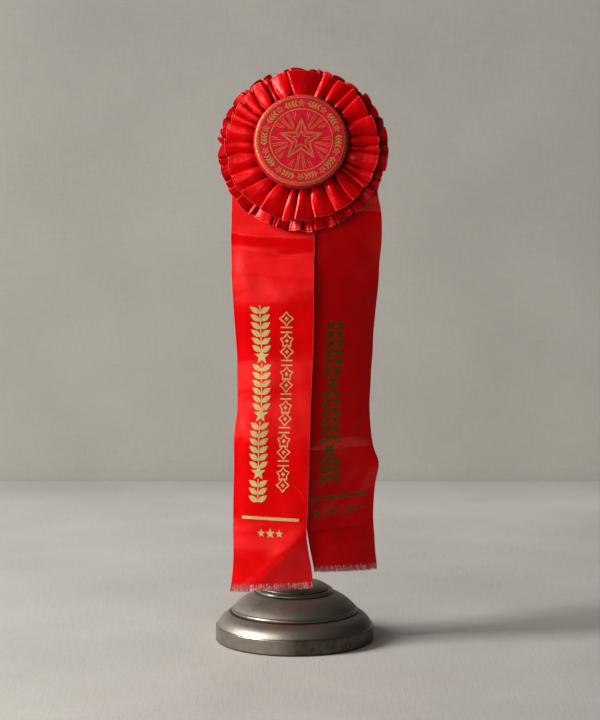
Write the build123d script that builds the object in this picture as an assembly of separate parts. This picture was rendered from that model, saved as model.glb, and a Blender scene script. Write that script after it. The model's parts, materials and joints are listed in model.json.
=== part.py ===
from build123d import *
import math
import os

# Award rosette with two hanging tails, clipped to a weighted round stand.
# Millimetres, +Z up. Origin: centre of the felt's underside, the face the
# stand rests on. -Y is the side the rosette faces.

# ---------------------------------------------------------------- dimensions
# stand
BASE_R = 37.5            # foot radius
WALL_TOP_Z = 7.2         # top of the upright wall
GROOVE_R = 29.4          # radius of the turned bead and groove
GROOVE_Z = 14.5
NECK_R = 17.8            # bead ring under the cap
NECK_Z = 24.0
CAP_R = 16.4             # domed cap disc
CAP_TOP_Z = 28.2
SHELL_T = 1.6            # metal thickness of the turned shell
FELT_T = 1.6
FELT_R = 35.7
STEM_R = 2.0
STEM_BOTTOM_Z = 4.2
STEM_TOP_Z = 204.0

# head: the clip and the rosette share one turn about the stem
HEAD_YAW = -4.5          # degrees about +Z
TILT = 12.0              # rosette leans back by this much
ROSETTE_C = (5.0, -9.1, 232.3)   # centre of the backing card's front face

# rosette stack, heights measured along the rosette's own normal
RIBBON_W = 38.1          # ribbon width of both tails
BUTTON_R = 21.7
BUTTON_AT = (-0.4, 0.7)    # glued on a little off the centre
FRONT_R = 35.3           # front ruffle, tip of a pleat
REAR_R = 39.5            # rear ruffle, tip of a pleat
PLEATS = 28
CARD_R = 26.0
COVER_R = 27.0
W_COVER = (-2.9, -2.1)
W_TAIL = (-1.6, -1.0)
W_CARD = (-1.0, 0.0)
W_REAR = (0.0, 5.4)
W_MID = (5.4, 6.0)
W_FRONT = (6.0, 11.0)
W_BUTTON = (11.0, 15.2)

# tails
TAIL_T = 0.6
HINGE_GAP = 0.45         # clearance between a tail and its sewn top
LEFT_U0 = -33.3          # left tail's left edge, from the rosette's centre
LEFT_HINGE_Z = 192.6
LEFT_END_Z = 27.2
LEFT_LEAN = 1.45         # degrees that the left tail hangs forward
RIGHT_C = (24.9, 0.0)    # middle of the right tail, seen from above
RIGHT_TURN = 36.0        # right tail faces this far to the right
RIGHT_HINGE_Z = 192.0
RIGHT_END_Z = 33.0
RIGHT_LEAN = 0.8

# clip
PIVOT = (-5.0, 202.5)    # pivot pin, Y and Z in the head's frame
PIN_R = 0.8
TAB_Y = (-2.7, -2.0)     # hanging tab's upright leg
JAW_TOP_Z = 219.0

# pin-back
PIN_V = 12.5             # height of the brooch bar over the rosette's centre
PIN_HALF = 13.0

YAW = Rot(0, 0, HEAD_YAW)
t = math.radians(TILT)
DISC = Plane(origin=ROSETTE_C, x_dir=(1, 0, 0),
             z_dir=(0, -math.cos(t), math.sin(t)))


# ------------------------------------------------------------------- helpers
def on_disc(shape):
    """Rosette coordinates (right, up, out) to the row's frame."""
    return YAW * (DISC.location * shape)


def in_head(shape):
    """Head coordinates (before the turn about the stem) to the row's frame."""
    return YAW * shape


def ring(r_out, r_in, z0, z1):
    body = Pos(0, 0, (z0 + z1) / 2) * Cylinder(r_out, z1 - z0)
    if r_in:
        body -= Pos(0, 0, (z0 + z1) / 2) * Cylinder(r_in, z1 - z0 + 2)
    return body


def block(x0, x1, y0, y1, z0, z1):
    return Pos((x0 + x1) / 2, (y0 + y1) / 2, (z0 + z1) / 2) * Box(
        x1 - x0, y1 - y0, z1 - z0)


def spun(edges):
    """Revolve a closed profile given as edges in the XZ plane."""
    return revolve(make_face(Wire(edges)), Axis.Z, 360)


def spun_poly(points):
    return revolve(make_face(Polyline(*[(r, 0, z) for r, z in points],
                                      close=True)), Axis.Z, 360)


def slab_yz(points, x0, x1):
    """Extrude a polygon given in Y and Z along X."""
    face = make_face(Polyline(*[(x0, y, z) for y, z in points], close=True))
    return extrude(face, amount=x1 - x0, dir=(1, 0, 0))


def pleated_ring(r_tip, r_valley, r_in, w0, w1, phase):
    """Ring with a scalloped outer edge, one lobe for each pleat."""
    pts = []
    for i in range(2 * PLEATS):
        a = 2 * math.pi * (i + phase) / (2 * PLEATS)
        r = r_tip if i % 2 == 0 else r_valley
        pts.append((r * math.cos(a), r * math.sin(a), w0))
    face = make_face(Spline(*pts, periodic=True))
    body = extrude(face, amount=w1 - w0, dir=(0, 0, 1))
    return body - ring(r_in, 0, w0 - 1, w1 + 1)


parts = {}

# --------------------------------------------------------------------- stand
# turned shell: foot wall, convex shoulder, bead and groove, sloping tier,
# bead ring, flat seat for the cap; open underneath
outer = [
    Line((36.2, 0, 0.3), (BASE_R - 0.3, 0, 0.3)),
    Line((BASE_R - 0.3, 0, 0.3), (BASE_R, 0, 0.8)),
    Line((BASE_R, 0, 0.8), (37.4, 0, WALL_TOP_Z - 0.2)),
    ThreePointArc((37.4, 0, WALL_TOP_Z - 0.2), (37.22, 0, WALL_TOP_Z + 0.22),
                  (36.8, 0, WALL_TOP_Z + 0.4)),
    ThreePointArc((36.8, 0, WALL_TOP_Z + 0.4), (34.35, 0, 11.15),
                  (30.4, 0, 13.75)),
    Line((30.4, 0, 13.75), (GROOVE_R + 0.35, 0, 13.7)),
    ThreePointArc((GROOVE_R + 0.35, 0, 13.7), (GROOVE_R + 0.55, 0, 14.75),
                  (GROOVE_R - 0.2, 0, GROOVE_Z + 1.0)),
    ThreePointArc((GROOVE_R - 0.2, 0, GROOVE_Z + 1.0), (24.2, 0, 20.05),
                  (18.5, 0, 22.9)),
    Line((18.5, 0, 22.9), (18.0, 0, 22.85)),
    ThreePointArc((18.0, 0, 22.85), (18.2, 0, 23.95), (17.3, 0, NECK_Z + 0.5)),
    Line((17.3, 0, NECK_Z + 0.5), (16.75, 0, NECK_Z - 0.2)),
    Line((16.75, 0, NECK_Z - 0.2), (STEM_R, 0, NECK_Z - 0.2)),
    Line((STEM_R, 0, NECK_Z - 0.2), (STEM_R, 0, 22.2)),
    Line((STEM_R, 0, 22.2), (17.0, 0, 21.6)),
    Line((17.0, 0, 21.6), (22.6, 0, 17.7)),
    Line((22.6, 0, 17.7), (27.4, 0, 13.0)),
    Line((27.4, 0, 13.0), (29.4, 0, 12.1)),
    Line((29.4, 0, 12.1), (33.2, 0, 9.2)),
    Line((33.2, 0, 9.2), (35.4, 0, 6.0)),
    Line((35.4, 0, 6.0), (36.2, 0, 1.8)),
    Line((36.2, 0, 1.8), (36.2, 0, 0.3)),
]
parts["base_shell"] = spun(outer)

# domed cap with a thin rim, seated on the shell's flat
cap = [
    Line((STEM_R, 0, NECK_Z - 0.2), (15.5, 0, NECK_Z - 0.2)),
    Line((15.5, 0, NECK_Z - 0.2), (15.5, 0, 24.6)),
    Line((15.5, 0, 24.6), (CAP_R - 0.3, 0, 24.6)),
    ThreePointArc((CAP_R - 0.3, 0, 24.6), (CAP_R, 0, 25.0),
                  (CAP_R - 0.2, 0, 25.4)),
    ThreePointArc((CAP_R - 0.2, 0, 25.4), (12.4, 0, 27.35), (7.0, 0, 28.0)),
    Line((7.0, 0, 28.0), (STEM_R, 0, CAP_TOP_Z)),
    Line((STEM_R, 0, CAP_TOP_Z), (STEM_R, 0, NECK_Z - 0.2)),
]
parts["base_cap"] = spun(cap)

# iron slug that gives the stand its weight, with a recess for the nut
parts["base_weight"] = spun_poly([
    (6.5, FELT_T), (34.6, FELT_T), (34.6, 5.2), (32.4, 8.6), (29.0, 11.2),
    (26.8, 12.2), (22.0, 17.0), (16.8, 20.6), (15.5, 21.5), (STEM_R, 22.0),
    (STEM_R, 9.0), (6.5, 9.0)])
parts["felt_pad"] = ring(FELT_R, 0, 0.0, FELT_T)
parts["stem"] = ring(STEM_R, 0, STEM_BOTTOM_Z, STEM_TOP_Z)
parts["stem_washer"] = ring(4.6, STEM_R, 8.2, 9.0)
nut = Pos(0, 0, 5.0) * extrude(RegularPolygon(7.0 / 2, 6, major_radius=False),
                               amount=3.2)
parts["stem_nut"] = nut - ring(STEM_R, 0, 0, 12)

# ---------------------------------------------------------------------- clip
# body: socket on the stem's top, fixed jaw plate, two ears for the pivot
body = block(-7, 7, -2.2, 3.4, 196.0, 205.2)
body = fillet(body.edges().filter_by(Axis.Z), 0.8)
body -= ring(STEM_R, 0, 190, STEM_TOP_Z)
body += block(-7, 7, -1.2, 0.2, 205.2, JAW_TOP_Z + 2.0)
for s in (-1, 1):
    ear = slab_yz([(-2.2, 199.4), (-2.2, 205.2), (-5.6, 205.2),
                   (-6.9, 203.9), (-6.9, 200.9), (-5.6, 199.4)], -0.6, 0.6)
    body += Pos(s * 6.3, 0, 0) * ear
pin_hole = Pos(0, PIVOT[0], PIVOT[1]) * Rot(0, 90, 0) * Cylinder(PIN_R, 20)
body -= pin_hole
parts["clip_body"] = in_head(body)
parts["clip_pad_rear"] = in_head(block(-6, 6, -1.8, -1.2, 208.0, JAW_TOP_Z + 1))

pin = Pos(0, PIVOT[0], PIVOT[1]) * Rot(0, 90, 0) * Cylinder(PIN_R, 13.8)
for s in (-1, 1):
    pin += (Pos(s * 7.25, PIVOT[0], PIVOT[1]) * Rot(0, 90, 0)
            * Cylinder(1.4, 0.7))
parts["clip_pin"] = in_head(pin)

# torsion spring: two coils on the pin, one at each side of the jaw's barrel
coils = None
for s in (-1, 1):
    coil = (Pos(s * 4.15, PIVOT[0], PIVOT[1]) * Rot(0, 90, 0)
            * (Cylinder(1.75, 2.3) - Cylinder(PIN_R, 4)))
    coils = coil if coils is None else coils + coil
parts["clip_spring"] = in_head(coils)

# moving jaw: barrel on the pin, jaw plate upwards, finger lever downwards
jaw = Pos(0, PIVOT[0], PIVOT[1]) * Rot(0, 90, 0) * Cylinder(1.75, 5.4)
jaw += slab_yz([(-5.4, 203.6), (-4.0, 203.6), (-3.5, 206.4),
                (-3.5, JAW_TOP_Z), (-4.3, JAW_TOP_Z), (-4.6, 206.4)],
               -2.7, 2.7)
jaw += block(-5.6, 5.6, -4.3, -3.5, 208.0, JAW_TOP_Z)
jaw += slab_yz([(-6.6, 202.3), (-5.0, 201.2), (-7.0, 188.0), (-7.9, 188.2)],
               -2.7, 2.7)
jaw += slab_yz([(-6.95, 196.0), (-6.1, 195.8), (-7.2, 187.6), (-8.1, 187.8)],
               -5.0, 5.0)
jaw -= Pos(0, PIVOT[0], PIVOT[1]) * Rot(0, 90, 0) * Cylinder(PIN_R + 0.08, 20)
parts["clip_jaw"] = in_head(jaw)
parts["clip_pad_front"] = in_head(
    block(-5.4, 5.4, -3.5, -2.9, 209.0, JAW_TOP_Z - 0.4))

# ------------------------------------------------------------------- rosette
# staples: two for each tail, crown behind, legs forward through the card
staple_at = [(-13.0, -16.0, 12), (-5.0, -20.0, -10),
             (10.5, -17.5, 8), (16.0, -12.5, -35)]
staples = None
legs = None
for u, v, turn in staple_at:
    where = Pos(u, v, 0) * Rot(0, 0, turn)
    crown = block(-5, 5, -0.25, 0.25, -2.1, W_TAIL[0])
    one = crown
    for s in (-4.75, 4.75):
        leg = block(s - 0.25, s + 0.25, -0.25, 0.25, W_TAIL[0], W_CARD[1])
        one += leg
        legs = where * leg if legs is None else legs + where * leg
    staples = where * one if staples is None else staples + where * one
parts["staples"] = on_disc(staples)

rivet = ring(1.5, 0, W_CARD[0], 12.0) + ring(3.6, 0, W_TAIL[0], W_CARD[0])
parts["centre_rivet"] = on_disc(rivet)
rivet_hole = ring(1.5, 0, -3, 12.0)

parts["backing_card"] = on_disc(
    ring(CARD_R, 0, *W_CARD) - rivet_hole - legs)
parts["middle_card"] = on_disc(ring(22.0, 1.5, *W_MID))
parts["back_cover"] = on_disc(ring(COVER_R, 0, *W_COVER))
parts["ruffle_rear"] = on_disc(
    pleated_ring(REAR_R, REAR_R - 1.9, 11.0, W_REAR[0], W_REAR[1], 0.0))
parts["ruffle_front"] = on_disc(
    pleated_ring(FRONT_R, FRONT_R - 1.8, 11.0, W_FRONT[0], W_FRONT[1], 1.0))

# covered button: pressed metal cup, cloth over it, wadding and a back disc
w0, w1 = W_BUTTON
cover = spun([
    Line((BUTTON_R - 0.4, 0, w0), (BUTTON_R, 0, w0)),
    Line((BUTTON_R, 0, w0), (BUTTON_R, 0, w1 - 2.2)),
    ThreePointArc((BUTTON_R, 0, w1 - 2.2), (BUTTON_R - 0.75, 0, w1 - 0.85),
                  (BUTTON_R - 2.2, 0, w1 - 0.3)),
    ThreePointArc((BUTTON_R - 2.2, 0, w1 - 0.3), (16.0, 0, w1 - 0.07),
                  (11.0, 0, w1)),
    Line((11.0, 0, w1), (0, 0, w1)),
    Line((0, 0, w1), (0, 0, w1 - 0.4)),
    Line((0, 0, w1 - 0.4), (11.0, 0, w1 - 0.4)),
    ThreePointArc((11.0, 0, w1 - 0.4), (16.0, 0, w1 - 0.47),
                  (BUTTON_R - 2.3, 0, w1 - 0.7)),
    ThreePointArc((BUTTON_R - 2.3, 0, w1 - 0.7),
                  (BUTTON_R - 1.05, 0, w1 - 1.15),
                  (BUTTON_R - 0.4, 0, w1 - 2.3)),
    Line((BUTTON_R - 0.4, 0, w1 - 2.3), (BUTTON_R - 0.4, 0, w0)),
])
off = Pos(BUTTON_AT[0], BUTTON_AT[1], 0)
parts["button_cover"] = on_disc(off * cover)
shell = spun_poly([
    (BUTTON_R - 0.9, w0), (BUTTON_R - 0.4, w0), (BUTTON_R - 0.4, w1 - 2.4),
    (BUTTON_R - 1.3, w1 - 1.3), (BUTTON_R - 2.4, w1 - 0.8), (0, w1 - 0.55),
    (0, w1 - 1.05), (BUTTON_R - 2.5, w1 - 1.3), (BUTTON_R - 1.6, w1 - 1.7),
    (BUTTON_R - 0.9, w1 - 2.6)])
parts["button_shell"] = on_disc(off * shell)
parts["button_pad"] = on_disc(off * ring(BUTTON_R - 2.6, 0, 12.0, w1 - 1.4))
parts["button_back"] = on_disc(
    off * ring(BUTTON_R - 1.0, 0, w0, 12.0) - rivet_hole)

# sewn tops of the two tails, side by side under the back cover
left_u1 = LEFT_U0 + RIBBON_W
left_hinge_v = (LEFT_HINGE_Z - ROSETTE_C[2]) / math.cos(t)
w_mid = sum(W_TAIL) / 2
left_top = block(LEFT_U0, left_u1, left_hinge_v + HINGE_GAP, -9.0,
                 W_TAIL[0], W_TAIL[1]) - legs
parts["streamer_left_top"] = on_disc(left_top)

right_dir = (math.cos(math.radians(RIGHT_TURN)),
             math.sin(math.radians(RIGHT_TURN)), 0)
right_n = (right_dir[1], -right_dir[0], 0)
flat_top = block(left_u1 + 0.2, left_u1 + 0.2 + 31.0, -24.0, -9.0,
                 W_TAIL[0], W_TAIL[1]) - legs
upper = YAW * (DISC.location * Plane(
    origin=(left_u1 + 0.2 + 15.5, -24.0, w_mid), x_dir=(1, 0, 0),
    z_dir=(0, -1, 0)).location * Rectangle(31.0, TAIL_T))
lower = Plane(origin=(RIGHT_C[0], RIGHT_C[1], RIGHT_HINGE_Z + HINGE_GAP),
              x_dir=right_dir, z_dir=(0, 0, -1)).location * Rectangle(
                  RIBBON_W, TAIL_T)
twist = loft([upper.faces()[0], lower.faces()[0]], ruled=True)
parts["streamer_right_top"] = on_disc(flat_top) + twist

parts["back_cover"] = parts["back_cover"] - parts["streamer_right_top"]

# hanging tab: stiff card strip glued to the back cover, bent to hang upright
c = ROSETTE_C


def disc_yz(v, w):
    return (c[1] + v * math.sin(t) - w * math.cos(t),
            c[2] + v * math.cos(t) + w * math.sin(t))


tab = slab_yz([
    disc_yz(7.0, W_COVER[0]), disc_yz(7.0, W_COVER[0] - 0.7),
    disc_yz(-0.6, W_COVER[0] - 0.7), (TAB_Y[1], 225.2), (TAB_Y[1], 208.4),
    (TAB_Y[0], 208.4), (TAB_Y[0], 224.8), disc_yz(-1.0, W_COVER[0])],
    -6.0, 6.0)
parts["hanging_tab"] = in_head(tab)

# brooch bar on the back cover: hinge ears at one end, forked catch at the other
wb = W_COVER[0]
bar = block(-PIN_HALF - 2.2, PIN_HALF + 2.2, PIN_V - 2.5, PIN_V + 2.5,
            wb - 0.6, wb)
needle_w = wb - 2.1
for s in (-1, 1):
    bar += block(-PIN_HALF - 1.3, -PIN_HALF + 1.3,
                 PIN_V + s * 1.8 - 0.3, PIN_V + s * 1.8 + 0.3,
                 needle_w - 1.3, wb - 0.6)
    bar += block(PIN_HALF - 0.8, PIN_HALF + 0.8,
                 PIN_V + s * 0.95 - 0.35, PIN_V + s * 0.95 + 0.35,
                 needle_w - 1.0, wb - 0.6)
pivot = (Pos(-PIN_HALF, PIN_V, needle_w) * Rot(90, 0, 0)
         * Cylinder(0.4, 4.6))
bar -= Pos(-PIN_HALF, PIN_V, needle_w) * Rot(90, 0, 0) * Cylinder(0.4, 8)
parts["pin_bar"] = on_disc(bar)
parts["pin_pivot"] = on_disc(pivot)
needle = (Pos(-PIN_HALF, PIN_V, needle_w) * Rot(90, 0, 0)
          * Cylinder(0.95, 2.6))
needle += (Pos(-PIN_HALF + 13.8, PIN_V, needle_w) * Rot(0, 90, 0)
           * Cylinder(0.4, 26.6))
needle += (Pos(-PIN_HALF + 28.1, PIN_V, needle_w) * Rot(0, 90, 0)
           * Cone(0.4, 0.08, 2.0))
needle -= (Pos(-PIN_HALF, PIN_V, needle_w) * Rot(90, 0, 0)
           * Cylinder(0.46, 8))
parts["pin_needle"] = on_disc(needle)

# --------------------------------------------------------------------- tails
# each hangs from an edge that acts as its hinge; the top edge is half round
hy = disc_yz(left_hinge_v, w_mid)
left_len = hy[1] - LEFT_END_Z
lean = math.radians(LEFT_LEAN)
left_tail = slab_yz([(-TAIL_T / 2, 0), (TAIL_T / 2, 0),
                     (TAIL_T / 2, -left_len), (-TAIL_T / 2, -left_len)],
                    c[0] + LEFT_U0, c[0] + left_u1)
left_tail += (Pos(c[0] + LEFT_U0 + RIBBON_W / 2, 0, 0) * Rot(0, 90, 0)
              * Cylinder(TAIL_T / 2, RIBBON_W))
left_tail = Pos(0, hy[0], hy[1]) * Rot(-LEFT_LEAN, 0, 0) * left_tail
parts["streamer_left"] = in_head(left_tail)

right_len = RIGHT_HINGE_Z - RIGHT_END_Z
right_tail = slab_yz([(-TAIL_T / 2, 0), (TAIL_T / 2, 0),
                      (TAIL_T / 2, -right_len), (-TAIL_T / 2, -right_len)],
                     -RIBBON_W / 2, RIBBON_W / 2)
right_tail += Rot(0, 90, 0) * Cylinder(TAIL_T / 2, RIBBON_W)
right_tail = (Pos(RIGHT_C[0], RIGHT_C[1], RIGHT_HINGE_Z)
              * Rot(0, 0, RIGHT_TURN) * Rot(-RIGHT_LEAN, 0, 0) * right_tail)
parts["streamer_right"] = right_tail

# -------------------------------------------------------------------- output
os.makedirs("parts", exist_ok=True)
for name, shape in parts.items():
    solids = shape.solids()
    out = solids[0] if len(solids) == 1 else Compound(children=list(solids))
    out.label = name
    export_step(out, os.path.join("parts", name + ".step"))
    print(name, len(solids), round(sum(s.volume for s in solids), 2))

yaw = math.radians(HEAD_YAW)


def turned(p):
    x, y, z = p
    return tuple(round(a, 4) for a in (
        x * math.cos(yaw) - y * math.sin(yaw),
        x * math.sin(yaw) + y * math.cos(yaw), z))


u_dir = turned((1, 0, 0))
v_dir = turned((0, math.sin(t), math.cos(t)))
py, pz = disc_yz(PIN_V, needle_w)
print("left hinge", turned((c[0], hy[0], hy[1])), "along", u_dir)
print("right hinge", (RIGHT_C[0], RIGHT_C[1], RIGHT_HINGE_Z), "along", right_dir)
print("clip pivot", turned((0, PIVOT[0], PIVOT[1])), "along", u_dir)
print("needle pivot", turned((c[0] - PIN_HALF, py, pz)), "along", v_dir)
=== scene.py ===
import bpy
import json
import math
import numpy as np
from mathutils import Vector
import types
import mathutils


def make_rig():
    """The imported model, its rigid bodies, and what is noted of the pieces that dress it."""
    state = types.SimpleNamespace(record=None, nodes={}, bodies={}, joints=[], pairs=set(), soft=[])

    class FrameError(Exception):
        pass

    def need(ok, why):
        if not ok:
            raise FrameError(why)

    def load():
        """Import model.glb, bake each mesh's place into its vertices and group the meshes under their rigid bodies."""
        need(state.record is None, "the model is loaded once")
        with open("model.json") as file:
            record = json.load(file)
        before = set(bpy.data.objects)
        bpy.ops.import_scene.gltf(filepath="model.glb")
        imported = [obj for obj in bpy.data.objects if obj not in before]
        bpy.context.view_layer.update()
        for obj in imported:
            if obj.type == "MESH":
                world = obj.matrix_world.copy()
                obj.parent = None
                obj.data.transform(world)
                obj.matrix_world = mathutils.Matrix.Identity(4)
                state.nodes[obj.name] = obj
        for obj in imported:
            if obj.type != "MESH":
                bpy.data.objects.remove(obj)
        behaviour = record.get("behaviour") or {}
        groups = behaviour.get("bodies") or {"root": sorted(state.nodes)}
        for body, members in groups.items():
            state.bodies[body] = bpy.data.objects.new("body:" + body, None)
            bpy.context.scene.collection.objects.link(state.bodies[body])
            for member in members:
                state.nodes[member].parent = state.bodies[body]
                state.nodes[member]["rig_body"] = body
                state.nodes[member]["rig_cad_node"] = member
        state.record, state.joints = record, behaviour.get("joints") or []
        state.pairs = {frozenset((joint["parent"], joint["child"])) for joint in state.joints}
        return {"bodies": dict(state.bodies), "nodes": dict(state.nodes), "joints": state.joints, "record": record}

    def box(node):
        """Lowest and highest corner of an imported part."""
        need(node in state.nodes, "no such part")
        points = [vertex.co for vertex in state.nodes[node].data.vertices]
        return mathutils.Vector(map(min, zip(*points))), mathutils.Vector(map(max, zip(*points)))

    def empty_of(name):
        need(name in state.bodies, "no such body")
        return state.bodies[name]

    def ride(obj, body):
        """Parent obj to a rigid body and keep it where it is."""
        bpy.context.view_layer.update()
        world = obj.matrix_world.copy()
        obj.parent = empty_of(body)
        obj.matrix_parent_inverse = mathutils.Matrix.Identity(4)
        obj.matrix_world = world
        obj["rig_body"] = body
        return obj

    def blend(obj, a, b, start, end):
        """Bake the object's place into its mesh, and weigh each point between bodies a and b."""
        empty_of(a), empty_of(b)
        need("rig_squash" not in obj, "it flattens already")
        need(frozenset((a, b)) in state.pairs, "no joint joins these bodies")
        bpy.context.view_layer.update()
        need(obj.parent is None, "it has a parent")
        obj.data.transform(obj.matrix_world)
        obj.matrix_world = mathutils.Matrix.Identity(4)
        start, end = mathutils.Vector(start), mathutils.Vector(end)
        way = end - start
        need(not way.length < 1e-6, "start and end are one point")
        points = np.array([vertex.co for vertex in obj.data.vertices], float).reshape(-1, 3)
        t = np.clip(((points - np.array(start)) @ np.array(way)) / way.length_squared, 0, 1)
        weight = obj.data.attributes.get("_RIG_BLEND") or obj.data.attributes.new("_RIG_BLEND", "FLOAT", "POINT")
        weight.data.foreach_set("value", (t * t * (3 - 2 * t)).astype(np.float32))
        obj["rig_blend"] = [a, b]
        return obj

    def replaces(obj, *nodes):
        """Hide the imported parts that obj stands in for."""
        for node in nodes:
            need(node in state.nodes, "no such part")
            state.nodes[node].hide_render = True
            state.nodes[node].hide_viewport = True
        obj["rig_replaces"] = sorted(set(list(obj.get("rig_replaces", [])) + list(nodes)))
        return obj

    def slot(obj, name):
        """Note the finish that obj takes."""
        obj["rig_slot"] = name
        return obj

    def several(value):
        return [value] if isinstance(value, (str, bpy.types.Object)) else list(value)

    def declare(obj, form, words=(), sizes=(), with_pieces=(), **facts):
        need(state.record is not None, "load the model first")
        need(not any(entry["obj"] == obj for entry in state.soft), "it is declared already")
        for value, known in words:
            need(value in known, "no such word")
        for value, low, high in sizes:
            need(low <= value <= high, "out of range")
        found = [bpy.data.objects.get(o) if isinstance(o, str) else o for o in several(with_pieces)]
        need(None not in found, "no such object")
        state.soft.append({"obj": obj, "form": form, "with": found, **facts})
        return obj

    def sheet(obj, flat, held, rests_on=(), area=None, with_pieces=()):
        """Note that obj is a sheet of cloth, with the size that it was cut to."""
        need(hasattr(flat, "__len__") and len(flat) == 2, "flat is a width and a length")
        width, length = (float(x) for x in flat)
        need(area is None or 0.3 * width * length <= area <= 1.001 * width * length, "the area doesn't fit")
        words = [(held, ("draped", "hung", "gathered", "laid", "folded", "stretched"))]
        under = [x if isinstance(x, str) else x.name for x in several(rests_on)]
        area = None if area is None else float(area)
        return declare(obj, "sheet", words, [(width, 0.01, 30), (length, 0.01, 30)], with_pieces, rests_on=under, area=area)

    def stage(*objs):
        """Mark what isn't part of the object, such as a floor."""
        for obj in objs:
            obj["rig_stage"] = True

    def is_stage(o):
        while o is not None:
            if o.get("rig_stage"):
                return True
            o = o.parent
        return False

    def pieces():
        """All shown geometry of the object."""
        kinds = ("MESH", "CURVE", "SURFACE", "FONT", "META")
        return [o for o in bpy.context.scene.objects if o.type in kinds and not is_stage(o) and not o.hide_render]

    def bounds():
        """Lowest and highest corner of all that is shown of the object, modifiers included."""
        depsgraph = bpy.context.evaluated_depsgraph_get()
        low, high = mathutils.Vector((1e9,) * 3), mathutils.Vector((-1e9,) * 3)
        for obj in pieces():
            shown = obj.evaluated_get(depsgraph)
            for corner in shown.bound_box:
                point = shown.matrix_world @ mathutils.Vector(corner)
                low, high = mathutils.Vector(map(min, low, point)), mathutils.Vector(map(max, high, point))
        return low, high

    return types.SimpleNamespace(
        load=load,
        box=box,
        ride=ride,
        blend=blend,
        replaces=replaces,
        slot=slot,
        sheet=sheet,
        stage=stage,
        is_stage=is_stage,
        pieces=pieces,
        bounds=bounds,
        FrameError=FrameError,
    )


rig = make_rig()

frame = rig.load()
cad_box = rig.bounds()
scene = bpy.context.scene
scene.view_settings.view_transform = "Standard"
scene.view_settings.look = "None"
MM = 0.001
rng = np.random.default_rng(7)

# ------------------------------------------------------- camera, from the front
CAM = np.array([0.0026, -0.995, 0.2315])
PITCH = 5.63
cam_data = bpy.data.cameras.new("camera")
cam_data.lens = 106.25
cam_data.sensor_width = 36.0
cam_data.clip_start = 0.05
cam_data.clip_end = 20
cam = bpy.data.objects.new("camera", cam_data)
cam.location = CAM
cam.rotation_euler = (math.radians(90 - PITCH), 0, 0)
scene.collection.objects.link(cam)
scene.camera = cam

# ------------------------------------------------------ the rosette's own frame
JOINT = {j["name"]: j for j in frame["record"]["behaviour"]["joints"]}
U = -np.array(JOINT["tail_left_swing"]["axis"], float)
U /= np.linalg.norm(U)
V = np.array(JOINT["needle_swing"]["axis"], float)
V /= np.linalg.norm(V)
N = np.cross(U, V)
lo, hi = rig.box("backing_card")
C = (np.array(lo, float) + np.array(hi, float)) / 2 + 0.0005 * N
C_MM = C / MM


def disc(u, v, w):
    """Right, up and out from the rosette's centre, millimetres to metres."""
    u, v, w = np.broadcast_arrays(np.asarray(u, float), v, w)
    return C + (u[..., None] * U + v[..., None] * V + w[..., None] * N) * MM


# ------------------------------------------------------------------ mesh helpers
def link(name, verts, faces, mat=None, smooth=True, uvs=None, tint=None):
    me = bpy.data.meshes.new(name)
    me.from_pydata([tuple(v) for v in np.asarray(verts, float)], [], faces)
    me.validate()
    if smooth:
        me.polygons.foreach_set("use_smooth", [True] * len(me.polygons))
    if uvs is not None:
        layer = me.uv_layers.new(name="UVMap")
        idx = np.empty(len(me.loops), dtype=np.int32)
        me.loops.foreach_get("vertex_index", idx)
        layer.data.foreach_set("uv", np.asarray(uvs, np.float32)[idx].ravel())
    if tint is not None:
        at = me.attributes.new("tint", "FLOAT", "POINT")
        at.data.foreach_set("value", np.asarray(tint, np.float32))
    me.update()
    ob = bpy.data.objects.new(name, me)
    scene.collection.objects.link(ob)
    if mat is not None:
        me.materials.append(mat)
    return ob


def grid_normals(P, wrap=False):
    """Unit normals of a grid of points; wrap joins the last column to the first."""
    du = np.gradient(P, axis=1)
    if wrap:
        du[:, 0] = (P[:, 1] - P[:, -1]) / 2
        du[:, -1] = (P[:, 0] - P[:, -2]) / 2
    dv = np.gradient(P, axis=0)
    n = np.cross(dv, du)
    n /= np.maximum(np.linalg.norm(n, axis=2, keepdims=True), 1e-12)
    return n


def cloth(name, P, thick, mat, wrap=False, uv=None, tint=None):
    """A sheet with thickness as one closed mesh, from a grid of middle points."""
    m, n = P.shape[:2]
    nrm = grid_normals(P, wrap)
    front = (P + nrm * thick / 2).reshape(-1, 3)
    back = (P - nrm * thick / 2).reshape(-1, 3)
    k = m * n
    faces = []
    cols = n if wrap else n - 1
    ii, jj = np.meshgrid(np.arange(m - 1), np.arange(cols), indexing="ij")
    a = (ii * n + jj).ravel()
    b = (ii * n + (jj + 1) % n).ravel()
    c = ((ii + 1) * n + (jj + 1) % n).ravel()
    d = ((ii + 1) * n + jj).ravel()
    faces += np.stack([a, d, c, b], 1).tolist()
    faces += (np.stack([a, b, c, d], 1) + k).tolist()
    j = np.arange(cols)
    j2 = (j + 1) % n
    faces += np.stack([j, j2, j2 + k, j + k], 1).tolist()
    o = (m - 1) * n
    faces += np.stack([o + j, o + j + k, o + j2 + k, o + j2], 1).tolist()
    if not wrap:
        i = np.arange(m - 1)
        faces += np.stack([i * n, i * n + k, (i + 1) * n + k, (i + 1) * n], 1).tolist()
        e = n - 1
        faces += np.stack([i * n + e, (i + 1) * n + e, (i + 1) * n + e + k,
                           i * n + e + k], 1).tolist()
    verts = np.vstack([front, back])
    uvs = None if uv is None else np.vstack([uv.reshape(-1, 2)] * 2)
    tints = None if tint is None else np.concatenate([tint.ravel()] * 2)
    return link(name, verts, faces, mat, uvs=uvs, tint=tints)


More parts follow.
